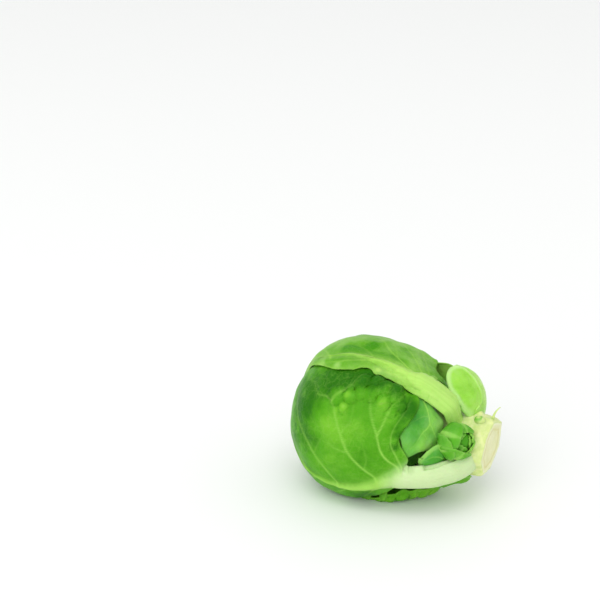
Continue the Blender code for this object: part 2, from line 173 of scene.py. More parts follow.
@dataclass
class Leaf:
    """A leaf laid on a form. Its stalk and midrib run along theta from the stem to the tip.
    Left is towards lower theta and right towards higher theta."""

    name: str
    form: Form
    theta: float
    middle: float
    length: float
    left: float
    right: float
    stalk: float = 8.5
    stalk_width: float = 2.3
    rib: float = 2.0
    foot: float = 2.3
    tip: float = 3.2
    lift: float = 0.0
    stalk_lift: float = 1.0
    flare: float = 0.0
    wave: float = 0.0
    reach: float = REACH
    rows: int = 110
    stalk_rows: int = 26
    columns: int = 121
    blade: float = BLADE
    sunk: float = 0.0  # how deep the stalk's foot goes into the stem
    # Outlines of the blade from its foot to its tip, as places across and along from its middle
    left_margin: tuple = ()
    right_margin: tuple = ()
    spine: tuple = ((0, 0), (1, 0))  # how far the midrib stands beside the middle line, at shares of the length
    seed: int = 0
    veins: tuple = ()  # (width, ((across, along), ...)) besides the side veins
    side_veins: tuple = (0.02, 0.1, 0.2, 0.32, 0.46, 0.6, 0.74, 0.87)  # where they leave the midrib
    quilt: float = 0.22  # how far the fields between veins stand out
    ruffles: tuple = ()  # (across, along, radius, height) of crumpled places
    blisters: tuple = ()  # (across, along, radius, height) of single domes with creases between them, darkened with painted shade
    shades: tuple = ()  # (across, along, radius, amount) of darker (-1) and paler (1) places: the leaf's own tone, and on some leaves painted shade and painted highlights
    hug: tuple = (3.0, 3.0)  # widths of the left and right margins that lie close on what is under them
    hug_from: float = 0.08  # from this share of the length
    swells: tuple = ()  # (across, along, radius, height) of fuller places
    thick_rim: float = 0.0  # how much thicker a fleshy margin is
    ridged: float = 0.0  # how far the listed veins stand out as ridges
    plain: bool = False  # without a midrib
    cream: float = 0.1  # how whitish the stalk is
    stalk_bend: float = 0.0  # how far the stalk's foot is turned aside
    rib_fade: float = 1.0  # how soon the paleness of the midrib fades
    flutter: float = 0.25  # unevenness of the margin
    ripple: float = 0.12  # small waves in the margin's height
    pale: float = 1.0  # how far the paleness of the midrib spreads
    curls: tuple = ()  # (side, share of length, spread, height) where the margin turns outwards


def wobble(x, y, seed):
    """A smooth random value from -1 to 1 for each place."""
    return np.array([noise.noise(Vector((a, b, 7.3 * seed + 0.5))) for a, b in zip(np.ravel(x), np.ravel(y))])


def margins(leaf, shares, down):
    """Both margins at these shares of the length and of the stalk: places across and along, left and right."""
    turn = math.pi * 0.97 * shares
    square = np.where(shares < 0.5, leaf.foot, leaf.tip)
    reach = np.sin(turn) ** (2 / square)
    bend = np.copysign(np.abs(np.cos(turn)) ** (2 / square), np.cos(turn))
    least = leaf.stalk_width * (1 - shares) * (1 + 0.25 * down * down)
    found = []
    for sign, half, outline in ((-1, leaf.left, leaf.left_margin), (1, leaf.right, leaf.right_margin)):
        if outline:
            way = np.array(outline, float)
            gone = np.concatenate([[0], np.cumsum(np.linalg.norm(np.diff(way, axis=0), axis=1))])
            gone /= gone[-1]
            across = smooth_value(list(zip(gone, way[:, 0])), shares)
            along = smooth_value(list(zip(gone, way[:, 1])), shares) + leaf.length / 2 - leaf.stalk * down
            least_here = np.where(shares < 0.3, least, -99.0)
            across = np.where(down > 0, sign * least, sign * np.maximum(sign * across, least_here))
        else:
            across = sign * np.maximum(half * reach, least)
            along = leaf.length * (1 - bend) / 2 - leaf.stalk * down
        if leaf.flutter:
            rough = wobble(shares * 9, np.full_like(shares, sign * 3.0), leaf.seed)
            rough += 0.6 * wobble(shares * 27, np.full_like(shares, sign * 5.0), leaf.seed)
            across = across + sign * leaf.flutter * rough * np.clip(shares * 6, 0, 1) * (down == 0)
        found.append((across, along))
    return found


def flat_leaf(leaf, shares, down, sideways):
    """Flat places of a grid: one row for each share of the length or of the stalk, one column for each share of the
    width from 1 on the right to -1 on the left."""
    (left_x, left_y), (right_x, right_y) = margins(leaf, shares, down)
    middle = leaf.length * shares**0.9 - leaf.stalk * down
    spine = smooth_value(leaf.spine, shares)
    v = sideways[None, :]
    edge_x = np.where(v > 0, right_x[:, None], -left_x[:, None])
    edge_y = np.where(v > 0, right_y[:, None], left_y[:, None])
    across = edge_x * v + spine[:, None] * (1 - np.abs(v) ** 1.5) + leaf.stalk_bend * (down**1.2)[:, None]
    along = middle[:, None] + (edge_y - middle[:, None]) * np.abs(v) ** 1.3
    return across, along


def bent(leaf, x, y):
    """Points and normals of the form where flat places fall: their distances from the blade's middle are kept."""
    form = leaf.form
    radius = smooth_value(form.radii, 90)
    middle = form.direction(leaf.middle, leaf.theta)
    to_tip = form.direction(leaf.middle + 90, leaf.theta)
    to_right = np.cross(middle, to_tip)
    away = np.maximum(np.hypot(x, y), 1e-9)
    angle = (away / radius)[:, None]
    way = (x[:, None] * to_right + y[:, None] * to_tip) / away[:, None]
    return form.surface(np.cos(angle) * middle + np.sin(angle) * way)


def vein_lines(leaf):
    """The veins as flat line pieces: two ends across and along, and the half width at each end."""
    rng = np.random.default_rng(100 + leaf.seed)
    scale = leaf.length / LARGE_LEAF
    lines = []

    def add(path, first, last):
        widths = np.linspace(first, last, len(path))
        for a, b, wa, wb in zip(path, path[1:], widths, widths[1:]):
            lines.append((*a, *b, wa, wb))

    def places(shares, outwards, sign):
        """Flat places at these shares of the length and of one side's width."""
        for share, out in zip(shares, outwards):
            x, y = flat_leaf(leaf, np.array([share]), np.array([0.0]), np.array([sign * out]))
            yield float(x[0, 0]), float(y[0, 0]) - leaf.length / 2

    for width, path in leaf.veins:
        ways = np.array(path, float)
        steps = np.linspace(0, 1, 4 * len(path))
        at = np.linspace(0, 1, len(path))
        curve = [smooth_value(list(zip(at, ways[:, axis])), steps) for axis in (0, 1)]
        add(list(zip(*curve)), width, 0.3 * width)
    for sign in (-1, 1):
        for start in leaf.side_veins:
            begin = start + rng.uniform(-0.02, 0.02)
            lean = rng.uniform(0.08, 0.14) * (1 - 0.6 * begin)
            width = (0.42 - 0.22 * begin) * scale
            out = np.linspace(0.02, 0.95, 14)
            share = np.clip(begin + lean * out**1.2 + 0.012 * np.sin(7 * out + begin * 40), 0.001, 0.995)
            add(list(places(share, out, sign)), width, 0.1 * scale)
            for fork in FORKS:
                turn = rng.choice((-1.0, 1.0)) * rng.uniform(0.35, 0.6)
                out = np.linspace(fork, min(fork + rng.uniform(0.18, 0.3), 0.97), 8)
                share = np.clip(begin + lean * fork**1.2 + (lean + turn) * (out - fork) * 0.9, 0.001, 0.99)
                add(list(places(share, out, sign)), 0.6 * width, 0.07 * scale)
    return lines


def vein_fields(lines, x, y, finest):
    """How much each flat place is on a vein, from 0 to 1, and how far it is from the nearest larger one."""
    on = np.zeros_like(x)
    far = np.full_like(x, FAR)
    for ax, ay, bx, by, wa, wb in lines:
        dx, dy = bx - ax, by - ay
        t = np.clip(((x - ax) * dx + (y - ay) * dy) / max(dx * dx + dy * dy, 1e-9), 0, 1)
        away = np.hypot(x - ax - t * dx, y - ay - t * dy)
        width = wa + (wb - wa) * t
        shown = np.maximum(1.15 * width, finest)
        strength = np.minimum(1, 0.35 + width / 0.3) * (1.15 * width / shown) ** 0.9
        on = np.maximum(on, strength * np.exp(-((away / shown) ** 2)))
        far = np.minimum(far, away + np.maximum(0, 0.22 - width) * 3)
    return on, far


def smoothing(count, spread):
    """Weights that replace each of so many values by a mean of its neighbours over this many steps."""
    at = np.arange(count)
    weights = np.exp(-(((at[:, None] - at[None, :]) / spread) ** 2))
    return weights / weights.sum(1, keepdims=True)


def blurred(grid, spread):
    """The grid smoothed over this many steps in both ways."""
    for _ in range(2):
        grid = (smoothing(len(grid), spread) @ grid).T
    return grid


def eased(share):
    """A share from 0 to 1, with a soft start and a soft end."""
    return share * share * (3 - 2 * share)


class Built:
    """All outer faces made so far, which the next leaf is laid over."""

    def __init__(self):
        self.points, self.faces, self.count = [], [], 0

    def add(self, points, faces):
        self.points.append(np.asarray(points))
        self.faces.append(np.asarray(faces) + self.count)
        self.count += len(points)

    def tree(self):
        faces = [tuple(f) for part in self.faces for f in part.tolist()]
        return BVHTree.FromPolygons(np.concatenate(self.points).tolist(), faces)


def covered(points, normals, tree, reach):
    """How high over each point the topmost of the pieces already there stands, or a large negative value."""
    starts = points + reach * normals
    heights = np.full(len(points), -FAR)
    for index, (start, way) in enumerate(zip(starts.tolist(), (-normals).tolist())):
        distance = tree.ray_cast(start, way, 1.3 * reach)[3]
        if distance is not None:
            heights[index] = reach - distance
    return heights


def grid_normals(points):
    """Unit normals of a grid of points, outwards."""
    return units(np.cross(np.gradient(points, axis=1), np.gradient(points, axis=0)))


class Sheet:
    """The grid of a flat leaf: a row for each step from the stalk's foot to the tip, a column for each across."""

    def __init__(self, leaf):
        half = leaf.columns // 2
        sideways = np.array([math.copysign(abs(k / half) ** 1.15, k) for k in range(half, -half - 1, -1)])
        steps = np.arange(-leaf.stalk_rows, leaf.rows + 1)
        shares = np.maximum(steps, 0) / leaf.rows
        down = -np.minimum(steps, 0) / max(leaf.stalk_rows, 1)
        self.x, along = flat_leaf(leaf, shares, down, sideways)
        self.y = along - leaf.length / 2
        self.shape = self.x.shape
        # Shares of the blade's length, of the stalk's and of the half width
        self.share = np.repeat(shares[:, None], leaf.columns, 1)
        self.down = np.repeat(down[:, None], leaf.columns, 1)
        self.side = np.repeat(sideways[None, :], len(steps), 0)
        # Distances from the midrib and from the margins
        spine = smooth_value(leaf.spine, shares)[:, None]
        self.beside = np.abs(self.x - spine - leaf.stalk_bend * self.down**1.2)
        widths = np.abs(np.gradient(self.x, axis=1))
        self.from_right = np.cumsum(widths, 1)
        self.from_left = np.cumsum(widths[:, ::-1], 1)[:, ::-1]
        self.from_tip = np.where(self.share > 0.5, (1.003 - self.share) * leaf.length, FAR)
        self.from_margin = np.minimum(np.minimum(self.from_right, self.from_left), self.from_tip)
        # How much each place belongs to the outer part and to the blade between margin and foot
        self.edge = np.clip((np.abs(self.side) - 0.45) / 0.55, 0, 1) ** 2
        self.blade = np.clip(self.share * 7, 0, 1) * (1 - self.edge) ** 0.5
        if leaf.length < SMALL_LEAF:
            self.rib_width = leaf.stalk_width * (1.05 - 0.8 * self.share)
        else:
            widening = (leaf.stalk_width * 1.05 - 0.22) * (1 - self.share) ** 5.5
            self.rib_width = (0.22 + widening) * leaf.length / LARGE_LEAF + 1e-6

    def near(self, x, y, radius):
        """1 at this place of the flat leaf, fading away from it."""
        return np.exp(-(((self.x - x) ** 2 + (self.y - y) ** 2) / radius**2))

    def uneven(self, across, along, seed):
        """A smooth random value from -1 to 1 for each place, as fine across and along as these numbers say."""
        return wobble(self.x * across, self.y * along, seed).reshape(self.shape)


def own_height(leaf, sheet):
    """How high the leaf would stand over its form with nothing under it."""
    foot = np.exp(-((sheet.share / 0.2) ** 2)) * (sheet.share > 0)
    wave = np.sin(2 * math.pi * WAVES * sheet.share + 2.0 * (sheet.side > 0))
    height = leaf.lift + leaf.stalk_lift * sheet.down**3
    height = height + leaf.flare * sheet.edge * foot + leaf.wave * sheet.edge * wave
    for x, y, radius, rise in leaf.swells:
        height = height + rise * sheet.near(x, y, radius)
    for side, at, spread, rise in leaf.curls:
        along = np.exp(-(((sheet.share - at) / spread) ** 2))
        height = height + rise * sheet.edge * (sheet.side * side > 0) * along
    return height


def stiffened(leaf, sheet, lift):
    """A lift over what is under the leaf, made even across the stalk and the midrib's start, which don't bend."""
    highest = np.where(sheet.beside < 1.25 * leaf.stalk_width, lift, 0).max(axis=1)
    even = highest
    for spread in STALK_SPREADS:
        even = np.maximum(smoothing(len(highest), spread) @ even, highest)
    if leaf.stalk > 5:
        ending = int(0.5 * leaf.stalk_rows)  # the stalk's last part goes into the stem and isn't lifted over it
        even[:ending] = np.minimum(even[:ending], even[ending] * (np.arange(ending) / ending) ** 0.8)
    stiff = np.clip(1 - sheet.share / STIFF_SHARE, 0, 1)
    stiff = eased(stiff * np.clip(STIFF_WIDTH - sheet.beside / leaf.stalk_width, 0, 1))
    lift = lift * (1 - stiff) + even[:, None] * stiff
    return np.where(sheet.down > 0.5, np.minimum(lift, even[:, None]), lift)


def laid_height(leaf, sheet, points, normals, built):
    """How high the leaf stands over its form when laid over everything built so far, with its margins close."""
    wanted = own_height(leaf, sheet)
    found = np.full(sheet.shape, -FAR)
    if built.count:
        found = covered(points, normals, built.tree(), leaf.reach).reshape(sheet.shape) + GAP
    lift = needed = np.maximum(found - wanted, 0)
    for spread in SPREADS:
        lift = np.maximum(blurred(lift, spread), needed)
    lift = stiffened(leaf, sheet, blurred(lift, 1.2))
    close = resting = np.maximum(found, wanted - CLOSE_LIMIT)
    for spread in CLOSE_SPREADS:
        close = np.maximum(blurred(close, spread), resting)
    close = blurred(close, 1.0)
    hugging = np.zeros(sheet.shape)
    left, right = leaf.hug
    for width, away in ((right, sheet.from_right), (left, sheet.from_left), (max(leaf.hug), sheet.from_tip)):
        if width:
            hugging = np.maximum(hugging, 1 - np.clip(away / width, 0, 1))
    hugging = eased(hugging) * np.clip((sheet.share - leaf.hug_from) * 8, 0, 1)
    return (wanted + lift) * (1 - hugging) + close * hugging


def relief(leaf, sheet, quilted):
    """How far quilting, ruffles, blisters and unevenness stand out, and where the creases between blisters get painted
    shade.
    """
    detail = leaf.quilt * quilted
    for x, y, radius, height in leaf.ruffles:
        folds = np.clip(0.55 + 1.3 * sheet.uneven(0.42, 0.3, leaf.seed + 11), 0, 1.3)
        folds = folds + 0.4 * np.abs(sheet.uneven(0.9, 0.7, leaf.seed + 12))
        detail = detail + height * sheet.near(x, y, radius) * folds
    domes = np.zeros(sheet.shape)
    warp_x, warp_y = (BLISTER_WARP * sheet.uneven(0.7, 0.7, leaf.seed + seed) for seed in (14, 15))
    for x, y, radius, height in leaf.blisters:
        away = ((sheet.x + warp_x - x) ** 2 + (sheet.y + warp_y - y) ** 2) / radius**2
        domes = np.maximum(domes, BLISTER_RISE * height * np.sqrt(np.clip(1 - away, 0, 1)))
    # where painted shade darkens the creases between blisters
    creases = (domes > 0) * np.clip(1 - domes / CREASE_HEIGHT, 0, 1)
    detail = detail + blurred(domes, BLISTER_SOFTNESS)
    detail = detail + 0.3 * (sheet.uneven(0.16, 0.16, leaf.seed + 3) + 0.6) * sheet.blade
    detail = detail + 0.09 * (sheet.uneven(0.55, 0.55, leaf.seed + 4) + 0.5) * sheet.blade
    ripples = (sheet.uneven(0.35, 0.35, leaf.seed + 5) + 0.7) * sheet.edge * (sheet.share > 0)
    return detail + leaf.ripple * ripples * 2, creases


def thickness(leaf, sheet, on_vein):
    """How thick the leaf is: thin at its margin, thicker on veins, thickest on the midrib and the round stalk."""
    bell = np.clip(1 - (sheet.beside / (1.7 * sheet.rib_width)) ** 2, 0, 1) ** 1.6
    wide = 1.12 * np.maximum(sheet.rib_width, leaf.stalk_width * (1 - sheet.share))
    rounded = np.sqrt(np.clip(1 - (sheet.beside / wide) ** 2, 0, 1))
    stalky = np.clip(1 - sheet.share * 9, 0, 1)
    rib = (rounded * stalky + bell * (1 - stalky)) * (not leaf.plain)
    rib_height = (leaf.rib - leaf.blade) * (1 - sheet.share) ** 2.6 * (1 - 0.5 * sheet.down**3)
    rib_height = rib_height + 0.12 * (1 - sheet.share) * (leaf.length > SMALL_LEAF)
    fading = EDGE_SHARE + (1 - EDGE_SHARE) * np.clip(sheet.from_margin / EDGE_FADE, 0, 1)
    thick = leaf.blade * np.where(sheet.down > 0, 1, fading) + rib_height * rib
    thick = thick + 0.1 * on_vein * sheet.blade * min(1, leaf.length / 25) + leaf.ridged * on_vein
    thick = thick + leaf.thick_rim * np.exp(-((sheet.from_margin / 0.8) ** 2))
    stripes = sheet.uneven(2.2, 0.12, leaf.seed + 9) * np.clip(1.2 - 3 * sheet.share, 0, 1)
    return thick + 0.04 * stripes * rib


def leaf_fields(leaf, sheet, on_vein, quilted, creases):
    """What the leaf's material reads at each place."""
    shade = np.zeros(sheet.shape)
    for x, y, radius, amount in leaf.shades:
        near = sheet.near(x, y, radius)
        shade = shade * (1 - near) + amount * near
    spread = (1.0 + 3.4 * np.exp(-sheet.share / 0.16)) * leaf.pale * leaf.length / LARGE_LEAF
    paleness = np.exp(-((np.maximum(sheet.beside - 0.8 * sheet.rib_width, 0) / spread) ** 1.3))
    paleness = paleness * np.exp(-((sheet.share / 0.55) ** 2))
    ribbing = np.exp(-((sheet.beside / (0.9 * sheet.rib_width)) ** 4))
    # A painted highlight along every margin, where its edge catches the light
    rim = np.exp(-sheet.from_margin / 0.3) * 0.6
    fleshy_rim = np.exp(-((sheet.from_margin / 0.9) ** 4)) * (leaf.thick_rim > 0)
    return {
        "vein": np.clip(on_vein * np.clip(sheet.share * 30, 0, 1), 0, 1),
        "rib": ribbing * np.clip(1.25 - leaf.rib_fade * sheet.share, 0, 1) * (not leaf.plain),
        "pale": np.clip(np.maximum(paleness, np.clip(sheet.down * 6, 0, 1)), 0, 1) * (not leaf.plain),
        # rim: the painted highlight along the margins, and the paler fleshy margin of a thick-rimmed leaf
        "rim": np.maximum(rim, fleshy_rim) * (sheet.share > 0.02),
        # painted shade in the creases between blisters
        "shade": shade - CREASE_SHADE * blurred(creases, BLISTER_SOFTNESS),
        "cream": leaf.cream * np.clip(1 - sheet.share * 7, 0, 1),
        "quilted": quilted,
        "across": sheet.x,
        "along": sheet.y,
    }


def leaf_sheet(leaf, built):
    """The leaf's fine shape as grids: inner and outer points, the outward normals, the thickness and the fields."""
    sheet = Sheet(leaf)
    on_vein, far = vein_fields(vein_lines(leaf), sheet.x, sheet.y, 0.95 * leaf.length / leaf.rows)
    quilted = (1 - np.exp(-((np.minimum(far, sheet.beside) / QUILT_WIDTH) ** 2))) * sheet.blade
    detail, creases = relief(leaf, sheet, quilted)
    points, normals = bent(leaf, sheet.x.ravel(), sheet.y.ravel())
    sinking = np.clip((sheet.down - 0.62) / 0.38, 0, 1) ** 2 * leaf.sunk
    height = laid_height(leaf, sheet, points, normals, built) + detail - sinking
    inner = (points + height.reshape(-1, 1) * normals).reshape(*sheet.shape, 3)
    facing = grid_normals(inner)
    thick = thickness(leaf, sheet, on_vein)
    outer = inner + thick[..., None] * facing
    outer[..., 2] = np.maximum(outer[..., 2], TABLE)
    inner[..., 2] = np.maximum(inner[..., 2], TABLE + THINNEST)
    return inner, outer, facing, thick, leaf_fields(leaf, sheet, on_vein, quilted, creases)


def shell(inner, outer, facing, thick, fields):
    """A closed body between two grids of points, with its margin rounded over: points, faces and fields."""
    rows, columns = inner.shape[:2]
    count = rows * columns
    index = np.arange(count).reshape(rows, columns)
    top = np.stack([index[:-1, :-1], index[:-1, 1:], index[1:, 1:], index[1:, :-1]], -1).reshape(-1, 4)
    border = np.concatenate([index[0, :], index[1:, -1], index[-1, -2::-1], index[-2:0:-1, 0]])
    flat_outer, flat_inner = outer.reshape(-1, 3), inner.reshape(-1, 3)
    above, below, out = flat_outer[border], flat_inner[border], facing.reshape(-1, 3)[border]
    middle = (above + below) / 2
    sides = units(np.cross(out, np.roll(middle, -1, 0) - np.roll(middle, 1, 0)))
    sides *= np.sign((sides * (middle - flat_outer.mean(0))).sum(1))[:, None]
    half = thick.reshape(-1)[border][:, None] / 2
    ring = middle + 0.8 * half * sides
    upper = 0.35 * above + 0.65 * ring + 0.22 * half * out
    lower = 0.35 * below + 0.65 * ring - 0.22 * half * out
    points = np.concatenate([flat_outer, flat_inner, upper, ring, lower])
    faces = [top[:, ::-1], top + count]
    loops = [border, *(2 * count + np.arange(3 * len(border)).reshape(3, -1)), border + count]
    for one, two in zip(loops, loops[1:]):
        faces.append(np.stack([one, np.roll(one, -1), np.roll(two, -1), two], -1))
    spread = {}
    for name, values in fields.items():
        flat = values.reshape(-1)
        spread[name] = np.concatenate([flat, flat, *[flat[border]] * 3])
    return points, np.concatenate(faces), spread


def link(obj):
    bpy.context.scene.collection.objects.link(obj)
    return obj


def mesh_object(name, points, faces, fields, material):
    """An object from points in millimetres, with its fields as attributes of the points."""
    mesh = bpy.data.meshes.new(name)
    mesh.from_pydata((points * MM).tolist(), [], faces)
    for field, values in fields.items():
        data = mesh.attributes.new(field, "FLOAT", "POINT").data
        data.foreach_set("value", np.asarray(values, np.float32).ravel())
    mesh.materials.append(material)
    mesh.shade_smooth()
    return link(bpy.data.objects.new(name, mesh))


def stand_in(obj, node):
    """The object takes the place of a solid of the frame."""
    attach(obj, "root")
    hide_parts(node)


def make_leaf(leaf, built, material):
    points, faces, fields = shell(*leaf_sheet(leaf, built))
    fields["seed"] = np.full(len(points), float(leaf.seed))
    stand_in(mesh_object(leaf.name + "_fine", points, faces.tolist(), fields, material), leaf.name)
    built.add(points, faces)


class Paint:
    """A material in the making. Most methods add a node and give back the output to go on with."""

    def __init__(self, name):
        self.material = bpy.data.materials.new(name)
        self.material.use_nodes = True
        self.nodes = self.material.node_tree.nodes
        self.inputs = self.nodes["Principled BSDF"].inputs

    def feed(self, socket, value):
        """Gives a socket a number, a colour, a vector or another node's output."""
        if isinstance(value, tuple):
            socket.default_value = (*value, 1) if len(socket.default_value) == 4 else value
        elif isinstance(value, (int, float)):
            socket.default_value = value
        else:
            self.material.node_tree.links.new(value, socket)

    def add(self, kind, values):
        """A node of this kind, with values for its inputs by name or number."""
        node = self.nodes.new("ShaderNode" + kind)
        for name, value in values.items():
            self.feed(node.inputs[name], value)
        return node

    def field(self, name):
        node = self.add("Attribute", {})
        node.attribute_name = name
        return node.outputs["Fac"]

    def maths(self, operation, first, second, clamped=False):
        node = self.add("Math", {0: first, 1: second})
        node.operation = operation
        node.use_clamp = clamped
        return node.outputs[0]

    def product(self, first, second, clamped=False):
        return self.maths("MULTIPLY", first, second, clamped)

    def total(self, first, second):
        return self.maths("ADD", first, second)

    def mixed(self, share, first, second):
        """Between two colours."""
        node = self.nodes.new("ShaderNodeMix")
        node.data_type = "RGBA"
        for number, value in ((0, share), (6, first), (7, second)):
            self.feed(node.inputs[number], value)
        return node.outputs[2]

    def ranged(self, value, low, high, to_low=0.0, to_high=1.0):
        """A value brought softly from one range to another."""
        limits = {"From Min": low, "From Max": high, "To Min": to_low, "To Max": to_high}
        node = self.add("MapRange", {"Value": value, **limits})
        node.interpolation_type = "SMOOTHSTEP"
        return node.outputs["Result"]

    def noise(self, place, scale, detail=3.0, rough=0.55, output="Fac"):
        node = self.add("TexNoise", {"Vector": place, "Scale": scale, "Detail": detail, "Roughness": rough})
        return node.outputs[output]

    def net(self, place, scale):
        """Thin lines between the cells of a mosaic."""
        node = self.add("TexVoronoi", {"Vector": place, "Scale": scale})
        node.feature = "DISTANCE_TO_EDGE"
        return self.ranged(node.outputs["Distance"], 0.0, 0.1, 1.0, 0.0)

    def bumps(self, height, strength, distance):
        """Small bumps of the surface, as high as this distance in metres."""
        node = self.add("Bump", {"Height": height, "Strength": strength, "Distance": distance})
        self.feed(self.inputs["Normal"], node.outputs["Normal"])

    def surface(self, colour, roughness, shine, glow=0.0, glow_radius=(1.0, 0.2, 0.1), glow_depth=0.05):
        """The shader's own values. Glow is the light that comes out again beside where it went in."""
        self.feed(self.inputs["Base Color"], colour)
        self.feed(self.inputs["Roughness"], roughness)
        self.feed(self.inputs["Specular IOR Level"], shine)
        self.feed(self.inputs["Subsurface Weight"], glow)
        self.feed(self.inputs["Subsurface Radius"], glow_radius)
        self.feed(self.inputs["Subsurface Scale"], glow_depth)
        return self.material


CREAM = (0.62, 0.77, 0.42)


def leaf_material(name, dark, mid, light, pale, vein, bloom, bloom_share, gloss, net_share=0.12):
    """Waxy leaf: clouded greens, pale midrib and veins, a faint net of veinlets and a whitish bloom."""
    paint = Paint(name)
    product, total, mixed, ranged, field = paint.product, paint.total, paint.mixed, paint.ranged, paint.field
    join = {0: field("across"), 1: field("along"), 2: product(field("seed"), 3.7)}
    place = paint.add("CombineXYZ", join).outputs[0]
    clouds = paint.noise(place, 0.16)
    patches = paint.noise(place, 0.5, 4.0, 0.6)
    grain = paint.noise(place, 5.5, 4.0, 0.65)
    bend = paint.add("VectorMath", {})
    bend.operation = "MULTIPLY_ADD"
    for number, value in enumerate((paint.noise(place, 0.9, 2.0, output="Color"), (1.6, 1.6, 0.0), place)):
        paint.feed(bend.inputs[number], value)
    net = paint.net(bend.outputs[0], 0.8)
    fine_net = paint.net(bend.outputs[0], 2.1)

    tone = total(product(clouds, 0.45), product(patches, 0.25))
    # darker and paler places, with painted shade and painted highlights among them
    tone = total(tone, product(field("shade"), 0.42))
    tone = total(tone, product(field("quilted"), 0.05))
    colour = mixed(ranged(tone, 0.08, 0.36), dark, mid)
    colour = mixed(ranged(tone, 0.34, 0.66), colour, light)
    colour = mixed(ranged(tone, 0.62, 0.9), colour, pale)
    bloomed = product(ranged(patches, 0.34, 0.66), product(ranged(tone, 0.12, 0.5), bloom_share))
    colour = mixed(bloomed, colour, bloom)
    netting = total(product(net, net_share), product(fine_net, net_share * 0.6))
    colour = mixed(product(netting, ranged(clouds, 0.3, 0.6)), colour, vein)
    colour = mixed(product(field("vein"), 0.75), colour, vein)

    stripes = paint.add("Mapping", {"Vector": place, "Scale": (2.1, 0.14, 1.0)}).outputs[0]
    fibres = paint.noise(stripes, 1.0, 4.0, 0.65)
    stalk_tone = mixed(ranged(fibres, 0.2, 0.66), vein, pale)
    stalk_tone = mixed(field("cream"), stalk_tone, CREAM)
    paleness = field("pale")
    clouded = product(product(paint.maths("SUBTRACT", patches, 0.5), 1.1), paleness)
    colour = mixed(product(product(total(paleness, clouded), 1.0, clamped=True), 0.92), colour, stalk_tone)
    colour = mixed(product(field("rib"), 0.7), colour, stalk_tone)
    # painted highlight along the margins, and paler fleshy margins
    colour = mixed(product(field("rim"), 0.55), colour, pale)

    roughness = total(total(product(patches, 0.2), product(grain, 0.1)), gloss - 0.2)
    relief = total(product(net, -0.35), product(fine_net, -0.2))
    relief = total(relief, product(grain, 0.5))
    relief = total(relief, product(patches, 1.6))
    relief = total(relief, product(product(fibres, paleness), 0.9))
    paint.bumps(relief, 0.6, 0.00014)
    return paint.surface(colour, roughness, 0.09, 0.12, (0.35, 1.0, 0.15), 0.0007)


def stem_material():
    """Cream-green cut stem: fibres along its skin, scars, and a moist cut face with its ring of vessels."""
    paint = Paint("cut_stem")
    mixed, ranged, field = paint.mixed, paint.ranged, paint.field
    where = paint.add("TexCoord", {}).outputs["Object"]
    mottle = paint.noise(where, 420.0, 4.0, 0.6)
    grain = paint.noise(where, 2600.0, 3.0, 0.6)
    skin = mixed(ranged(mottle, 0.35, 0.7), (0.6, 0.72, 0.25), (0.8, 0.84, 0.42))
    skin = mixed(ranged(field("foot"), 0.15, 1.0), skin, (0.42, 0.62, 0.17))
    skin = mixed(paint.product(field("scar"), 0.3), skin, (0.5, 0.5, 0.16))
    skin = mixed(field("leafy"), skin, (0.2, 0.5, 0.05))
    cut = mixed(ranged(mottle, 0.3, 0.75), (0.74, 0.75, 0.38), (0.84, 0.84, 0.52))
    cut = mixed(paint.product(field("ring"), 0.75), cut, (0.64, 0.6, 0.22))
    cut = mixed(ranged(field("radial"), 0.86, 1.0), cut, (0.84, 0.86, 0.6))
    colour = mixed(field("cut"), skin, cut)
    paint.bumps(paint.total(mottle, paint.product(grain, 0.4)), 0.5, 0.00015)
    return paint.surface(colour, ranged(mottle, 0.3, 0.7, 0.42, 0.6), 0.4, 0.3, (1.0, 0.9, 0.4), 0.0012)


OUTER_GREEN = leaf_material(
    "outer_leaf_green", dark=(0.02, 0.155, 0.001), mid=(0.08, 0.34, 0.006), light=(0.17, 0.48, 0.022),
    pale=(0.33, 0.6, 0.1), vein=(0.34, 0.68, 0.1), bloom=(0.13, 0.41, 0.03), bloom_share=0.2, gloss=0.42,
)
# The top leaf's paler, greyer bloom is partly its waxy bloom and partly a painted sheen of the light from above.
TOP_GREEN = leaf_material(
    "top_leaf_green", dark=(0.05, 0.28, 0.001), mid=(0.11, 0.38, 0.01), light=(0.25, 0.53, 0.08),
    pale=(0.46, 0.76, 0.15), vein=(0.36, 0.68, 0.09), bloom=(0.32, 0.56, 0.17), bloom_share=0.24, gloss=0.44,
)
INNER_GREEN = leaf_material(
    "inner_leaf_green", dark=(0.02, 0.14, 0.003), mid=(0.08, 0.34, 0.01), light=(0.22, 0.52, 0.05),
    pale=(0.5, 0.75, 0.25), vein=(0.32, 0.62, 0.09), bloom=(0.16, 0.4, 0.1), bloom_share=0.2, gloss=0.4,
)
WINDOW_GREEN = leaf_material(
    "window_leaf_green", dark=(0.03, 0.22, 0.03), mid=(0.08, 0.36, 0.03), light=(0.25, 0.6, 0.08),
    pale=(0.4, 0.72, 0.16), vein=(0.4, 0.74, 0.13), bloom=(0.12, 0.4, 0.12), bloom_share=0.4, gloss=0.42,
    net_share=0.04,
)
YOUNG_GREEN = leaf_material(
    "young_leaf_green", dark=(0.02, 0.17, 0.002), mid=(0.08, 0.36, 0.012), light=(0.18, 0.52, 0.03),
    pale=(0.42, 0.74, 0.17), vein=(0.3, 0.64, 0.08), bloom=(0.14, 0.42, 0.09), bloom_share=0.25, gloss=0.38,
    net_share=0.03,
)
SPOON_GREEN = leaf_material(
    "spoon_leaf_green", dark=(0.16, 0.48, 0.02), mid=(0.32, 0.69, 0.07), light=(0.45, 0.79, 0.14),
    pale=(0.6, 0.85, 0.36), vein=(0.55, 0.8, 0.3), bloom=(0.38, 0.7, 0.16), bloom_share=0.3, gloss=0.34,
    net_share=0.0,
)
STEM_PALE = stem_material()

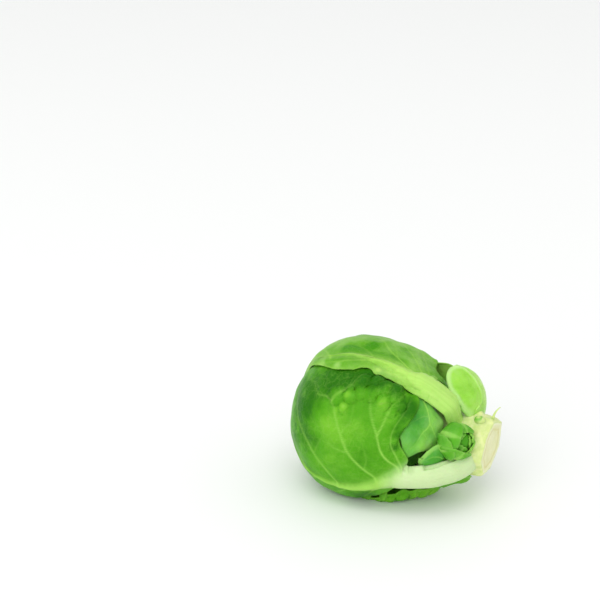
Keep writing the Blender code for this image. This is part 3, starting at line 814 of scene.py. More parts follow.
# The stem, from the cut face inwards: along the axis and out from it
STEM_OUTLINE = (
    (25.6, 5.9), (25.4, 6.3), (24.2, 6.6), (22.8, 6.5), (21.2, 6.2), (18.8, 5.8), (16.6, 6.0), (12.9, 7.6),
)
CUT_RADIUS = STEM_OUTLINE[0][1]
STEM_CORNERS = (8, 52, 100, 152, 196, 250, 306)  # where the trimmed stump has its edges
STEM_ANGULAR = 0.75
# Scars of the leaves trimmed away, and one sleeping bud: along, theta, height, length, width
STEM_BUMPS = (
    (22.6, 75, 0.7, 1.6, 3.2), (22.0, 205, 0.8, 1.5, 3.4), (22.4, 330, 0.7, 1.6, 3.0), (21.9, 2, 1.2, 1.1, 1.4),
    (20.4, 165, 0.9, 2.2, 4.0),
)
FACE_ROWS, SIDE_ROWS, ROUND = 26, 90, 168
SHARP = 48  # edges of the stem sharper than this stay crisp
NUB = (22.6, 6.0, 14, 1.7, 1.15)  # along, out, theta, half length and half width of the sleeping bud on the stump
SPIKE = (24.6, 6.2, 352, 3.6, 0.34)  # along, out, theta, length and foot's radius of the thread at the cut's edge


def round_grid(rows, columns):
    """A grid of indexes whose rows are rings, the same turned by one, and its faces."""
    index = np.arange(rows * columns).reshape(rows, columns)
    turned = np.roll(index, -1, 1)
    return index, turned, np.stack([index[:-1], index[1:], turned[1:], turned[:-1]], -1).reshape(-1, 4)


def closed_tube(path, radii, sides):
    """A closed tube along a path of points: its points and faces."""
    along = units(np.gradient(path, axis=0))
    first = units(np.cross(along, (0.3, 0.9, 0.2)))
    second = np.cross(along, first)
    turn = np.linspace(0, 2 * math.pi, sides, endpoint=False)
    rings = path[:, None] + radii[:, None, None] * (
        np.cos(turn)[None, :, None] * first[:, None] + np.sin(turn)[None, :, None] * second[:, None]
    )
    index, _, faces = round_grid(len(path), sides)
    faces = faces[:, [0, 3, 2, 1]].tolist() + [index[0, ::-1].tolist(), index[-1].tolist()]
    return rings.reshape(-1, 3), faces


def nub():
    """The small sleeping bud on top of the stump, with its darker scale."""
    along, out, theta, half_length, half_width = NUB
    away = HEART.direction(90, theta)
    middle = CENTRE + along * STEM_WAY + out * away
    shares = np.linspace(-0.995, 0.995, 22)
    path = middle + shares[:, None] * half_length * STEM_WAY * 0.75 + (0.35 * (1 - shares**2))[:, None] * away
    points, faces = closed_tube(path, half_width * np.sqrt(1 - shares**2) * (1 - 0.2 * shares), 26)
    height = (points - middle) @ away
    across = (points - middle) @ np.cross(STEM_WAY, away)
    lengthwise = (points - middle) @ STEM_WAY
    scale = np.exp(-(((np.hypot(lengthwise + 0.5, across) - 0.75) / 0.28) ** 2)) * (lengthwise < 0.4)
    return points, faces, np.clip(scale * (height > 0) + 0.15, 0, 1)


def spike():
    """The dried thread left standing at the upper edge of the cut."""
    along, out, theta, length, radius = SPIKE
    away = HEART.direction(90, theta)
    foot = CENTRE + along * STEM_WAY + (out - 0.4) * away
    shares = np.linspace(0, 1, 18)
    bend = 0.55 * shares**0.6 - 0.5 * np.sin(math.pi * shares) * 0.4 + 0.35 * shares**3
    path = foot + (shares * length)[:, None] * away + (bend * 1.5)[:, None] * STEM_WAY
    points, faces = closed_tube(path, radius * (1.15 - shares) ** 0.8, 10)
    return points, faces, np.full(len(points), 0.25)


def stem_scars(along, theta):
    """How far the scars of trimmed leaves stand out, and where each has its dark outline towards the head."""
    bump, scar = np.zeros_like(along), np.zeros_like(along)
    for at, angle, tall, length, width in STEM_BUMPS:
        lengthwise = (along - at) / length
        beside = np.radians((theta - angle + 180) % 360 - 180) * CUT_RADIUS / width
        bump += tall * np.exp(-(lengthwise**2) - beside**2)
        outline = np.exp(-(((np.hypot(lengthwise, beside) - 1.0) / 0.16) ** 2))
        scar = np.maximum(scar, outline * (along < at + 0.4 * length))
    return bump, scar


def flat_sides(theta):
    """How near the flat sides between the stump's edges come to its axis, as shares of its radius."""
    corners = np.array([*STEM_CORNERS, STEM_CORNERS[0] + 360], float)
    turned = (theta - corners[0]) % 360 + corners[0]
    at = np.clip(np.searchsorted(corners, turned, side="right") - 1, 0, len(corners) - 2)
    half = np.radians(corners[at + 1] - corners[at]) / 2
    return np.cos(half) / np.cos(np.radians(turned - corners[at]) - half)


def stem_grid():
    """The stem's points as rings from the middle of the cut face to its foot, and its material's fields."""
    side = np.linspace(0, 1, SIDE_ROWS)
    face = np.linspace(0.04, 1, FACE_ROWS, endpoint=False)
    shares = np.linspace(0, 1, len(STEM_OUTLINE))
    along_side, out_side = (smooth_value(list(zip(shares, values)), side) for values in zip(*STEM_OUTLINE))
    rings = (
        np.concatenate([np.full(FACE_ROWS, STEM_END), along_side]),
        np.concatenate([face * CUT_RADIUS, out_side]),
        np.concatenate([face, np.ones(SIDE_ROWS)]),
        np.concatenate([np.zeros(FACE_ROWS), np.ones(SIDE_ROWS)]),
    )
    along, out, radial, on_side = (np.repeat(values[:, None], ROUND, 1) for values in rings)
    theta = np.repeat(np.linspace(0, 360, ROUND, endpoint=False)[None, :], len(along), 0)
    t = np.radians(theta)
    x, y = np.cos(t), np.sin(t)

    def rough(fine, seed, along_x=0.0, along_y=0.0):
        """Unevenness as fine as this round the stem, changing along it by the other two."""
        return wobble(x * fine + along * along_x, y * fine + along * along_y, seed).reshape(out.shape)

    bump, scar = stem_scars(along, theta)
    angular = STEM_ANGULAR * np.clip((along - 18.5) / 4, 0, 1)
    out = out * (1 + angular * (flat_sides(theta) * 1.06 - 1))
    uneven = 0.25 * rough(1.1, 31) + 0.22 * rough(3.1, 32, 0.1)
    on_skin = 0.1 * rough(9, 33, 0.05, 0.12) + 0.2 * rough(3.5, 34, 0.5, -0.3)
    out = out + bump * np.minimum(1, (STEM_END + 0.4 - along) / 1.5) * on_side * radial
    out = out + uneven * radial + on_skin * on_side * np.clip((STEM_END - along) / 0.5, 0.2, 1)
    ring = np.exp(-(((radial - 0.74 - 0.03 * np.sin(3 * t)) / 0.045) ** 2)) * (1 - on_side)
    dish = 0.25 * (1 - radial**2) - 0.12 * ring + 0.06 * rough(radial * 5, 35)
    slant = CUT_SLANT * out * y * (along / STEM_END) ** 12
    along = along - dish * (1 - on_side) - slant
    ways = x[..., None] * HEART.zero + y[..., None] * HEART.side
    fields = {
        "cut": 1 - on_side,
        "radial": radial,
        "ring": ring,
        "scar": scar * on_side,
        "foot": np.clip((21.5 - along) / 5, 0, 1),
        "leafy": 0 * out,
    }
    return CENTRE + along[..., None] * STEM_WAY + out[..., None] * ways, fields


def make_stem(built):
    """The stem: an outline turned round the axis, uneven, with scars and a slanting cut, a nub and a spike."""
    grid, fields = stem_grid()
    rows = len(grid)
    index, turned, faces = round_grid(rows, ROUND)
    points = np.concatenate([grid.reshape(-1, 3), [grid[0].mean(0), grid[-1].mean(0)]])
    fields = {name: np.concatenate([f.ravel(), [f[0, 0], f[-1, 0]]]) for name, f in fields.items()}
    built.add(points, faces)
    faces = faces.tolist()
    faces += [(rows * ROUND, index[0, k], turned[0, k]) for k in range(ROUND)]
    faces += [(rows * ROUND + 1, turned[-1, k], index[-1, k]) for k in range(ROUND)]
    for extra_points, extra_faces, leafy in (nub(), spike()):
        faces += [tuple(i + len(points) for i in face) for face in extra_faces]
        points = np.concatenate([points, extra_points])
        for name in fields:
            fields[name] = np.concatenate([fields[name], leafy if name == "leafy" else 0 * leafy])
    stem = mesh_object("stem_fine", points, faces, fields, STEM_PALE)
    stem.data.set_sharp_from_angle(angle=math.radians(SHARP))
    stand_in(stem, "stem")


def ball_angles(first, last, rows, columns):
    """Angles phi from a ball's pole and theta round it, as grids in degrees."""
    return np.meshgrid(np.linspace(first, last, rows), np.linspace(0, 360, columns, endpoint=False), indexing="ij")


def make_heart(built):
    """The tight heart of the head, with shallow folds like the leaves pressed inside it."""
    rows, columns = 60, 96
    phi, theta = ball_angles(1, 179, rows, columns)
    p, t = np.radians(phi), np.radians(theta)
    ways = np.cos(p)[..., None] * HEART.pole + np.sin(p)[..., None] * (
        np.cos(t)[..., None] * HEART.zero + np.sin(t)[..., None] * HEART.side
    )
    points, normals = HEART.surface(ways.reshape(-1, 3))
    folds = 0.12 * np.abs(np.sin(2.5 * t + 2.2 * p)) ** 0.5 + 0.06 * np.sin(9 * t)
    points = points + (0.6 * folds.reshape(-1, 1) - 0.15) * normals
    index, _, faces = round_grid(rows, columns)
    fields = {name: 0 * phi for name in ("vein", "rib", "rim", "quilted", "cream")}
    fields.update(shade=0 * phi - 0.8, pale=0.4 * np.exp(-((phi / 25) ** 2)))
    fields.update(across=theta / 8, along=phi / 4, seed=0 * phi + 40)
    ends = [tuple(index[0]), tuple(index[-1, ::-1])]
    stand_in(mesh_object("heart_fine", points, faces.tolist() + ends, fields, INNER_GREEN), "heart")
    built.add(points, faces)


BUD_SIZE = 3.3
BUD_FORM = spoon_form(21.3, 11.7, 67, 28, BUD_SIZE)
BUD_AXIS = unit((0.8, -0.5, 0.3))  # where its tip points
BUD_SHAPE = Form(BUD_FORM.centre, -BUD_AXIS, UP_WAY, ((0, BUD_SIZE), (180, BUD_SIZE)))
# Leaves round the side bud, outer ones last: angle, middle, lift, length and width as shares, paleness and curl
BUD_LEAVES = (
    (100, 118, -0.75, 1.5, 0.62, 0.3, 0.2),
    (330, 112, -0.6, 1.6, 0.72, -0.3, 0.2),
    (215, 108, -0.5, 1.6, 0.72, -0.2, 0.3),
    (75, 98, -0.3, 1.75, 0.8, 0.6, 0.3),
    (150, 96, -0.15, 1.75, 0.85, 0.5, 0.35),
    (15, 94, 0.0, 1.9, 0.9, -0.05, 0.35),
    (300, 92, 0.2, 2.0, 1.0, 0.0, 0.4),
    (205, 86, 0.35, 1.9, 0.95, 0.15, 0.5),
    (255, 74, 0.6, 1.7, 0.75, 0.05, 0.7),
)


def make_bud(built):
    """The leafy side bud: a small ball with cupped leaves overlapping round it, in one piece."""
    rows, columns = 20, 28
    p, t = (np.radians(angle) for angle in ball_angles(2, 178, rows, columns))
    ways = np.stack([np.cos(p), np.sin(p) * np.cos(t), np.sin(p) * np.sin(t)], -1)
    points = BUD_FORM.centre + 0.84 * BUD_SIZE * ways.reshape(-1, 3)
    faces = round_grid(rows, columns)[2][:, [0, 3, 2, 1]]
    names = ("vein", "rib", "pale", "rim", "shade", "cream", "quilted", "across", "along")
    fields = {name: np.full(len(points), -0.2 if name == "shade" else 0.0) for name in names}
    for number, (angle, middle, lift, length, width, shade, curl) in enumerate(BUD_LEAVES):
        leaf = Leaf(
            f"bud_{number}", BUD_SHAPE, angle, middle, length * BUD_SIZE, width * BUD_SIZE, width * BUD_SIZE,
            stalk=0.3 * BUD_SIZE, stalk_width=0.3 * BUD_SIZE, rib=0.6, tip=2.6, lift=lift, stalk_lift=0.0,
            rows=40, stalk_rows=4, columns=41, blade=0.3, seed=60 + number, quilt=0.16, flutter=0.22, ripple=0.16,
            curls=((1, 0.62, 0.3, curl), (-1, 0.5, 0.3, 0.7 * curl)), side_veins=(0.2, 0.5), pale=0.6,
            hug=(0.0, 0.0), shades=((0, 0, 9, shade), (0.0, 2.2, 1.2, shade + 0.35)),
        )
        leaf_points, leaf_faces, values = shell(*leaf_sheet(leaf, Built()))
        faces = np.concatenate([faces, leaf_faces + len(points)])
        points = np.concatenate([points, leaf_points])
        fields = {name: np.concatenate([fields[name], values[name]]) for name in names}
    fields["seed"] = np.full(len(points), 60.0)
    stand_in(mesh_object("side_bud_fine", points, faces.tolist(), fields, YOUNG_GREEN), "side_bud")
    built.add(points, faces)


# The leaves, each with its own flat places in millimetres across and along from the blade's middle.
# Margins run from the leaf's foot to its tip; veins, blisters, swells and shades are as the Leaf class says.
FRONT_MARGIN = (
    (-3.3, -18.5), (-4.9, -18.7), (-7.2, -17.7), (-9.5, -16.2), (-11.4, -15.5), (-14.3, -15.8), (-17.9, -17.0),
    (-21.0, -16.6), (-23.8, -13.5), (-25.0, -8.0), (-25.0, -1.0), (-23.5, 6.0), (-19.0, 12.5), (-11.0, 17.2),
    (-3.0, 18.5),
)
FRONT_LOWER = (
    (3.3, -18.5), (5.0, -17.2), (7.4, -15.6), (9.0, -13.2), (10.2, -11.4), (10.0, -10.0), (11.3, -8.4), (11.5, -6.6),
    (11.1, -5.4), (12.0, -3.2), (12.2, 0.5), (12.0, 4.5), (10.8, 9.0), (7.8, 14.0), (3.4, 17.6), (0.5, 18.5),
)
FRONT_SPINE = (
    (0, 0), (0.08, 1.2), (0.18, 2.8), (0.27, 3.7), (0.4, 4.1), (0.55, 3.9), (0.68, 3.3), (0.85, 1.5), (1, 0),
)
FRONT_SWELLS = ((9.5, -3.5, 7.5, 1.3), (8.0, 6.0, 7.0, 0.9), (0.0, 11.0, 9.0, 0.7), (-9.0, 9.0, 7.0, 0.4))
FRONT_VEINS = (
    (0.3, ((3.5, -12.5), (0.5, -11.8), (-2.1, -9.4), (-5.3, -5.6), (-8.8, -2.6), (-11.8, 0.5), (-13.4, 2.4))),
    (0.16, ((-13.4, 2.4), (-14.9, 2.5), (-17.3, 1.6), (-19.1, 1.2), (-21.5, 0.4))),
    (0.14, ((-13.4, 2.4), (-13.5, 4.2), (-12.3, 6.4), (-12.6, 9.5), (-11.0, 13.0))),
    (0.32, ((-1.0, -18.0), (-3.2, -16.4), (-5.2, -14.2), (-7.6, -12.2), (-11.7, -10.0), (-15.4, -6.9), (-18.3, -4.8))),
    (0.19, ((-10.8, -10.5), (-14.2, -10.7), (-16.6, -10.6), (-19.2, -10.9), (-22.5, -12.0))),
    (0.18, ((-2.2, -18.0), (-6.0, -16.2), (-9.5, -14.2), (-13.0, -13.6), (-17.0, -14.4), (-20.5, -14.6))),
    (0.2, ((4.8, -4.5), (1.5, -2.0), (-1.8, 1.6), (-4.6, 5.5), (-6.4, 9.6), (-7.4, 13.4))),
    (0.18, ((4.6, 2.6), (2.4, 5.4), (0.2, 9.2), (-1.6, 13.6), (-2.4, 16.5))),
    (0.16, ((3.5, -12.0), (5.6, -10.6), (8.0, -8.4), (11.0, -6.9))),
    (0.16, ((5.0, -5.2), (7.0, -3.0), (9.2, -0.2), (11.5, 1.6))),
    (0.15, ((4.8, 1.6), (6.4, 4.0), (8.6, 7.6), (10.0, 9.4))),
    (0.1, ((-5.3, -5.6), (-5.6, -1.8), (-7.4, 2.2), (-8.6, 6.0))),
    (0.09, ((-8.8, -2.6), (-12.0, -3.4), (-15.0, -2.4), (-17.0, -0.6))),
    (0.09, ((-2.1, -9.4), (-5.0, -9.6), (-8.0, -8.2), (-10.4, -5.8))),
    (0.08, ((-1.8, 1.6), (-5.4, 1.0), (-8.0, -0.6))),
)
# The crumpled band of the front leaf where it slips under the top leaf: single domes with creases between them,
# darkened with painted shade
FRONT_BLISTERS = (
    (-15.0, 2.6, 2.0, 0.8), (-16.7, -0.3, 1.5, 1.1), (-18.2, 1.8, 1.6, 0.7), (-18.7, -1.6, 1.5, 1.2),
    (-20.6, -0.3, 1.8, 1.4), (-19.4, -4.2, 1.8, 1.2), (-21.8, -3.2, 1.7, 1.4), (-21.6, -6.2, 1.9, 1.5),
    (-19.6, -7.2, 1.5, 1.1), (-22.2, -9.0, 1.8, 1.3), (-20.4, -10.2, 1.8, 1.3), (-19.0, -12.2, 1.6, 0.9),
    (-13.9, -0.3, 1.1, 0.45), (-18.0, -8.9, 1.1, 0.5), (-17.2, -11.2, 1.2, 0.45),
)
# The small pale places under 1 mm are painted glints on the blisters, and the broad pale places of the first line are
# paler leaf with a painted highlight. The dark band along the margin that slips under the top leaf is darker green
# with painted shade where it turns under.
FRONT_SHADES = (
    (-9.0, 0.0, 4.0, 0.45), (-11.0, -5.0, 4.0, 0.25), (-15.0, -10.5, 3.0, 0.25), (-2.0, -1.0, 4.0, 0.2),
    (-4.0, -10.0, 3.5, -0.1), (-7.0, -7.5, 2.6, -0.2), (-5.5, 3.0, 2.4, -0.35), (-3.0, 6.5, 3.5, -0.75),
    (-8.0, 9.5, 4.0, -0.8), (-13.0, 9.0, 3.8, -0.75), (-16.5, 6.0, 3.0, -0.9), (-19.0, 3.0, 2.6, -0.95),
    (-21.5, -0.5, 2.4, -0.85), (-22.6, -4.5, 2.6, -0.9), (-22.4, -9.5, 2.6, -0.75), (-19.2, -12.6, 2.0, -0.4),
    (-17.6, -15.4, 2.6, -0.6), (-9.0, -15.0, 1.4, -0.6), (6.6, -7.6, 3.0, -0.7), (9.5, -3.5, 3.0, -0.5),
    (-12.0, -15.4, 1.6, -0.5), (-14.0, -14.4, 1.6, -0.25), (4.0, 10.0, 6.0, -0.3), (-14.0, -0.4, 0.8, 0.9),
    (-16.3, 0.1, 0.6, 0.8), (-18.4, -7.8, 0.8, 0.8), (-12.6, 0.6, 0.7, 0.6), (9.0, -2.0, 3.0, 0.35),
)
TOP_MARGIN = (
    (-3.3, -18.0), (-5.4, -18.4), (-6.8, -18.2), (-7.8, -20.4), (-9.2, -22.0), (-10.6, -20.8), (-11.2, -18.2),
    (-12.6, -16.4), (-15.2, -14.6), (-19.0, -9.6),
    (-22.0, -2.0), (-21.5, 6.0), (-17.0, 13.0), (-9.0, 17.2), (-1.5, 18.0),
)
TORN_MARGIN = (
    (3.3, -18.0), (3.1, -15.0), (2.4, -12.4), (2.2, -10.0), (2.8, -7.6), (2.6, -6.4), (1.8, -5.6), (1.4, -4.6),
    (1.8, -3.4), (2.5, -2.0), (2.8, 0.2), (2.8, 2.2), (1.9, 4.4), (0.6, 7.0), (-0.6, 9.6), (-1.4, 12.4), (-2.0, 15.6),
    (-2.6, 18.0),
)
TOP_SPINE = (
    (0, 0), (0.1, -0.4), (0.25, -1.2), (0.4, -1.0), (0.6, -0.6), (0.75, -2.2), (0.9, -3.8), (1, -4.2),
)
TOP_VEINS = (
    (0.26, ((-1.0, -17.4), (-2.6, -14.6), (-4.0, -11.0), (-6.0, -6.6), (-10.0, -1.6), (-13.0, 3.0))),
    (0.2, ((-1.6, -17.4), (-4.6, -15.0), (-8.6, -11.0), (-12.6, -5.6), (-16.5, 0.0))),
    (0.18, ((-2.0, -17.6), (-6.5, -16.0), (-11.6, -12.6), (-16.0, -8.0))),
    (0.22, ((0.6, -12.0), (-0.4, -8.4), (-0.6, -5.0), (0.6, -1.6), (1.4, 1.6), (1.2, 5.0))),
    (0.14, ((-0.6, -5.0), (-2.8, -3.4), (-4.2, -0.6), (-4.4, 3.4))),
    (0.13, ((-5.0, -8.6), (-8.2, -6.4), (-11.4, -2.6))),
    (0.15, ((0.4, 3.6), (-2.4, 6.0), (-5.4, 9.4), (-7.4, 13.0))),
    (0.12, ((-8.2, -3.8), (-8.6, 0.6), (-10.0, 4.6), (-12.6, 8.0))),
)
# The broad pale places of the first line are partly greyish bloom and partly a painted sheen of the light from above.
TOP_SHADES = (
    (-8.0, 4.0, 5.0, 0.45), (-13.0, -4.0, 5.0, 0.4), (-15.0, -10.0, 4.0, 0.35), (-6.0, -13.0, 3.0, 0.4),
    (-16.0, 6.0, 5.0, 0.1), (-5.4, -2.4, 1.6, -1.0), (-3.0, 1.4, 1.5, -1.3), (-2.6, -0.8, 1.3, -1.7),
    (-2.4, -3.2, 1.3, -1.9), (-2.9, -5.6, 1.2, -1.7), (-3.8, -7.8, 1.1, -1.2), (-4.6, -9.8, 0.9, -0.5),
    (-0.3, -1.4, 1.3, -1.3), (-0.2, 0.9, 1.2, -1.0), (-0.6, -3.6, 0.9, -0.8), (1.5, -6.5, 1.0, 1.2),
    (1.0, -8.9, 1.3, 1.1), (0.4, -11.2, 1.5, 1.1), (0.1, -13.4, 1.7, 1.1), (0.4, -15.8, 1.8, 1.1),
    (-0.6, 12.5, 2.5, 0.5), (-2.7, 10.6, 2.0, 0.5), (1.4, 5.4, 1.0, 0.7), (2.2, 1.6, 0.7, 0.8),
    (-9.6, -8.2, 1.2, -0.2),
)
UNDER_MARGIN = (
    (-3.2, -17.5), (-3.6, -21.5), (-4.4, -23.9), (-6.0, -24.7), (-7.4, -23.4), (-8.8, -22.2), (-9.6, -19.6),
    (-11.0, -17.6), (-12.8, -16.2), (-13.8, -14.0), (-15.8, -12.8), (-15.6, -10.4), (-16.6, -8.0), (-15.4, -5.4),
    (-14.6, 0.0), (-12.0, 6.0), (-9.0, 12.0), (-3.0, 17.0),
)
UNDER_BLISTERS = (
    (-5.2, -22.6, 1.2, 0.7), (-6.6, -20.4, 1.4, 0.8), (-5.6, -17.6, 1.4, 0.8), (-7.8, -17.2, 1.5, 0.9),
    (-9.6, -15.6, 1.6, 0.9), (-8.2, -14.6, 1.5, 0.6), (-12.0, -14.2, 1.5, 0.8), (-10.6, -12.4, 1.7, 0.7),
    (-13.4, -11.6, 1.5, 0.8), (-12.2, -9.4, 1.7, 0.7), (-14.4, -8.6, 1.4, 0.7), (-13.4, -6.2, 1.7, 0.6),
    (-6.4, -14.6, 1.4, 0.5), (-11.2, -6.8, 1.8, 0.5),
)
UNDER_SWELLS = ((-8.0, -17.5, 5.5, 0.9), (-12.5, -9.0, 6.0, 0.9), (-12.0, -2.0, 6.0, 0.8))
BACK_MARGIN = (
    (2.5, -18.0), (4.8, -18.6), (6.2, -17.8), (7.0, -15.8), (7.6, -13.6), (9.4, -10.4), (12.6, -6.0), (15.6, 0.0),
    (15.6, 6.0), (12.0, 12.0), (6.0, 16.6), (0.5, 18.0),
)
WINDOW_UPPER = (
    (-0.9, -5.6), (-2.4, -5.3), (-3.6, -3.8), (-4.6, -2.4), (-5.9, -0.6), (-6.6, 1.0), (-6.4, 3.0), (-4.6, 4.4),
    (-2.0, 5.0), (0.0, 5.1),
)
WINDOW_LOWER = (
    (0.9, -6.2), (2.2, -5.6), (3.2, -4.2), (4.2, -2.6), (5.0, -0.9), (6.2, 0.2), (6.9, 1.0), (5.9, 2.3), (4.7, 2.9),
    (3.6, 3.5), (2.2, 4.4), (0.2, 5.1),
)
WINDOW_VEINS = (
    (0.2, ((-6.4, 1.2), (-4.5, 0.1), (-2.9, -0.7), (-1.4, -1.4), (-0.2, -2.6), (1.2, -3.7), (2.4, -4.4))),
    (0.15, ((-1.4, -1.3), (-0.2, -0.8), (0.8, -0.1), (1.9, 0.2), (3.3, 0.5), (4.8, 1.2))),
    (0.09, ((-2.9, -0.7), (-2.4, 0.8), (-1.2, 2.2))),
    (0.08, ((0.8, -0.1), (1.6, -1.4), (2.9, -1.8))),
    (0.08, ((-4.2, 0.0), (-4.0, -1.4), (-3.2, -2.8))),
)
CURLED_UPPER = (
    (-0.5, -2.9), (-1.8, -3.3), (-2.8, -2.6), (-3.2, -1.4), (-2.9, -0.2), (-2.0, 0.9), (-0.8, 1.8), (0.8, 2.7),
)
CURLED_LOWER = ((0.5, -2.9), (1.4, -2.4), (2.1, -1.2), (2.5, 0.2), (2.5, 1.4), (1.9, 2.3), (0.9, 2.8))
CURLED_VEINS = ((0.12, ((0.4, -2.6), (-0.6, -1.4), (-0.8, 0.2), (0.2, 1.8))),)
SPOON_LEFT = (
    (-0.6, -7.6), (-3.0, -7.6), (-5.0, -6.8), (-5.8, -5.2), (-6.2, -3.0), (-6.4, -0.6), (-5.6, 1.4), (-4.0, 2.8),
    (-2.0, 4.2), (-0.2, 5.1),
)
SPOON_RIGHT = (
    (0.6, -7.4), (2.0, -6.5), (3.0, -5.2), (3.9, -3.9), (4.6, -2.0), (5.0, 0.1), (4.8, 2.0), (4.2, 3.4), (3.0, 4.6),
    (1.0, 5.2),
)
SPOON_RIDGE = (
    (0.4, 5.2), (-0.8, 4.2), (-1.5, 2.8), (-1.8, 1.0), (-1.9, -0.9), (-1.8, -2.7), (-0.8, -4.0), (0.8, -5.0),
)


def inner_leaf(place, theta, middle, left, rows, columns, seed):
    """One of the leaves wrapped tightly round the heart."""
    return Leaf(
        "inner_leaf_" + place, INNER, theta, middle, 32, left, 18, 2.5, rib=1.2, stalk_lift=0,
        rows=rows, columns=columns, stalk_rows=6, seed=seed,
    )


inner_leaves = (
    inner_leaf("low", 190, 118, 18, 70, 81, 1),
    inner_leaf("back", 315, 118, 17, 70, 81, 2),
    inner_leaf("front", 70, 112, 18, 80, 91, 3),
)
SMALL = dict(theta=0, middle=90, side_veins=(), stalk_rows=4, plain=True, hug=(0.0, 0.0))
window_leaf = Leaf(
    "window_leaf", spoon_form(12.0, 11.8, 64, 40, 12.0), length=10.0, left=6.6, right=6.6,
    stalk=0.8, stalk_width=1.2, rib=0.9, tip=2.4, stalk_lift=0.0, rows=66, columns=75, seed=4,
    left_margin=WINDOW_UPPER, right_margin=WINDOW_LOWER, veins=WINDOW_VEINS, quilt=0.3, flutter=0.12,
    shades=(
        (0.0, 0.0, 8.0, 0.25), (-1.8, 1.6, 1.7, -0.4), (0.8, -2.4, 1.2, -0.3), (2.0, 2.2, 1.6, 0.0),
        # The two strong pale places on this line are painted light, brightening where the top leaf's stalk and the bud
        # shade this leaf.
        (-1.7, -4.9, 2.9, 1.25), (3.2, -2.8, 2.2, 0.9), (-4.4, -1.6, 1.4, 0.6),
    ),
    **SMALL,
)
curled_leaf = Leaf(
    "curled_leaf", spoon_form(15.4, 10.8, 96, 30, 6.0), length=5.6, left=2.4, right=2.6,
    stalk=0.6, stalk_width=0.8, rib=0.8, tip=2.2, stalk_lift=0.0, rows=44, columns=45, seed=5,
    left_margin=CURLED_UPPER, right_margin=CURLED_LOWER, veins=CURLED_VEINS, quilt=0.12, flutter=0.1,
    curls=((-1, 0.5, 0.4, 0.5),), thick_rim=0.12,
    **SMALL,
)
leaf_back_low = Leaf(
    "leaf_back_low", OUTER, 250, 114, 36, 20, 17, stalk=9.5, rib=1.7, flare=0.5, wave=0.2, seed=6, sunk=1.0,
    shades=((-9, 2, 5, 0.25), (8, -4, 5, 0.2), (-14, 10, 5, -0.5), (12, 8, 5, -0.4), (0, 14, 5, -0.5)),
)
leaf_under = Leaf(
    "leaf_under", COLLARED, 204, 98, 35, 17, 16, 6, rib=1.4, flare=0.5, wave=0.2, seed=10, sunk=0.6, blade=0.6,
    left_margin=UNDER_MARGIN, blisters=UNDER_BLISTERS, swells=UNDER_SWELLS, stalk_width=3.0, hug=(0.0, 3.0),
    flutter=0.4, ripple=0.25, side_veins=(0.1, 0.3, 0.5, 0.7),
    shades=(
        (-9, -14.5, 4.5, 0.65), (-13, -7, 4.5, 0.55), (-12, -12, 0.9, -0.8), (-8.0, -15.4, 0.8, -0.7),
        (-13.6, -9.6, 0.7, -0.7),
    ),
)
leaf_front = Leaf(
    "leaf_front", COLLARED, 113, 117, 37, 23, 11.8, 12.0, 3.0, 2.7, foot=1.5, tip=3.6, stalk_lift=0.3,
    stalk_bend=-0.9, wave=0.1, rows=150, columns=171, seed=7, sunk=1.2, hug=(2.6, 2.0), side_veins=(),
    left_margin=FRONT_MARGIN, right_margin=FRONT_LOWER, spine=FRONT_SPINE, veins=FRONT_VEINS,
    blisters=FRONT_BLISTERS, shades=FRONT_SHADES, flutter=0.2, pale=0.48, swells=FRONT_SWELLS, cream=0.95,
    ruffles=((-20.5, -8.5, 4.2, 0.3), (-21.5, -2.0, 4.0, 0.3), (-17.0, 7.0, 5.0, 0.3), (-6.0, -12.0, 5.0, 0.2)),
)
leaf_back_high = Leaf(
    "leaf_back_high", OUTER, 303, 112, 36, 17, 16, stalk=9.2, rib=1.7, flare=1.2, wave=0.1, seed=8, sunk=1.0,
    hug=(3.0, 0.0), right_margin=BACK_MARGIN, curls=((1, 0.09, 0.06, 2.6),),
    # The last, strong pale place is painted light on the ear that lies in shade between the top leaf and the spoon
    # leaf.
    shades=((-9, 2, 5, 0.25), (-4, -6, 4, 0.2), (-14, 8, 5, -0.4), (0, 14, 5, -0.4), (7.5, -14.8, 5.5, 1.8)),
)
leaf_top = Leaf(
    "leaf_top", OUTER, 23, 114, 36, 22, 3.6, 9.4, 3.1, 2.4, tip=2.5, stalk_lift=0.0, wave=0.1,
    rows=150, columns=141, seed=9, sunk=1.0, left_margin=TOP_MARGIN, right_margin=TORN_MARGIN, spine=TOP_SPINE,
    side_veins=(), veins=TOP_VEINS, shades=TOP_SHADES, hug=(3.0, 1.3), hug_from=0.3, flutter=0.16, rib_fade=1.9,
    swells=((-10.0, 2.0, 9.0, 0.35),), pale=0.9,
)
spoon_leaf = Leaf(
    "spoon_leaf", spoon_form(18.0, 11.8, -13, 50, 9.5, turned=38), length=10.6, left=6.6, right=5.2,
    stalk=2.4, stalk_width=2.6, rib=1.0, tip=2.3, stalk_lift=-1.6, reach=0.5, rows=70, columns=71, seed=12,
    left_margin=SPOON_LEFT, right_margin=SPOON_RIGHT, veins=((0.3, SPOON_RIDGE),), thick_rim=0.4, ridged=0.3,
    blade=0.7, quilt=0.0, flutter=0.05, ripple=0.03,
    shades=(
        (2.4, 1.4, 2.2, -0.4), (0.4, -1.2, 1.4, -0.15), (0.4, -4.6, 1.8, 0.5), (2.0, 3.0, 1.8, 0.1),
        (-4.6, 0.0, 2.4, 0.8), (-4.0, -3.4, 1.8, 0.9), (-3.4, 3.0, 1.4, 0.5),
    ),
    **SMALL,
)

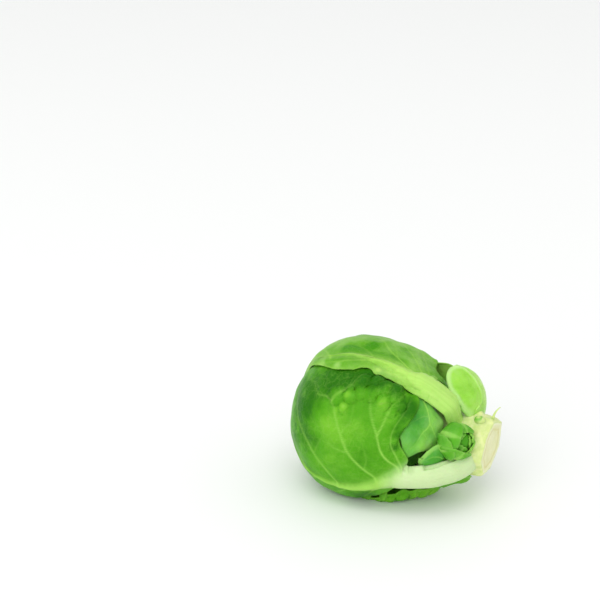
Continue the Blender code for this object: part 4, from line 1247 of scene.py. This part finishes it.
# From the inside outwards: each leaf is laid over everything made before it
built = Built()
make_stem(built)
make_heart(built)
for leaf in inner_leaves:
    make_leaf(leaf, built, INNER_GREEN)
for leaf in (window_leaf, curled_leaf):
    make_leaf(leaf, built, WINDOW_GREEN)
make_bud(built)
for leaf in (leaf_back_low, leaf_under, leaf_front, leaf_back_high):
    make_leaf(leaf, built, OUTER_GREEN)
make_leaf(leaf_top, built, TOP_GREEN)
make_leaf(spoon_leaf, built, SPOON_GREEN)

# Floor, light and camera
FLOOR_SIZE = 3.0
LIT_PLACE = Vector((0, 0, 0.018))  # what the lights are turned to
WHITE = (1, 1, 1, 1)
ROOM_LIGHT = 0.82


def make_floor():
    half = FLOOR_SIZE / 2
    mesh = bpy.data.meshes.new("floor")
    mesh.from_pydata([(-half, -half, 0), (half, -half, 0), (half, half, 0), (-half, half, 0)], [], [(0, 1, 2, 3)])
    mesh.materials.append(Paint("pale_floor").surface((0.93, 0.94, 0.93), 0.6, 0.2))
    floor = link(bpy.data.objects.new("floor", mesh))


def make_light(name, place, size, power):
    light = bpy.data.lights.new(name, "AREA")
    light.energy = power
    light.size = size
    obj = link(bpy.data.objects.new(name, light))
    obj.location = place
    obj.rotation_euler = (LIT_PLACE - Vector(place)).to_track_quat("-Z", "Y").to_euler()


make_floor()
make_light("key", (0.15, -1.1, 1.55), size=1.6, power=13.2)
make_light("front", (-0.25, -1.35, 0.55), size=1.3, power=4.5)

world = bpy.data.worlds.new("pale_room")
world.use_nodes = True
world.node_tree.nodes["Background"].inputs["Color"].default_value = WHITE
world.node_tree.nodes["Background"].inputs["Strength"].default_value = ROOM_LIGHT
bpy.context.scene.world = world
bpy.context.scene.view_settings.view_transform = "Standard"

# The photo's camera: how it looks at the head's centre, and where in the 600 pixel frame that falls
CAMERA_AROUND, CAMERA_ABOVE = 22.0, 20.0
LENS, SENSOR, SIDE = 100.0, 36.0, 600
PIXEL = 0.226  # millimetres at the head's centre
CENTRE_PIXEL = (383.0, 418.0)
CLIP_START = 0.01


def make_camera():
    around, above = math.radians(CAMERA_AROUND), math.radians(CAMERA_ABOVE)
    right = Vector((math.cos(around), math.sin(around), 0))
    back = Vector((math.sin(around) * math.cos(above), -math.cos(around) * math.cos(above), math.sin(above)))
    up = back.cross(right)
    place = Vector(CENTRE) + back * PIXEL * LENS / (SENSOR / SIDE)
    place += -right * (CENTRE_PIXEL[0] - SIDE / 2) * PIXEL + up * (CENTRE_PIXEL[1] - SIDE / 2) * PIXEL
    data = bpy.data.cameras.new("camera")
    data.lens = LENS
    data.sensor_width = SENSOR
    data.clip_start = CLIP_START
    camera = link(bpy.data.objects.new("camera", data))
    camera.matrix_world = Matrix.Translation(place * MM) @ Matrix((right, up, back)).transposed().to_4x4()
    bpy.context.scene.camera = camera


make_camera()
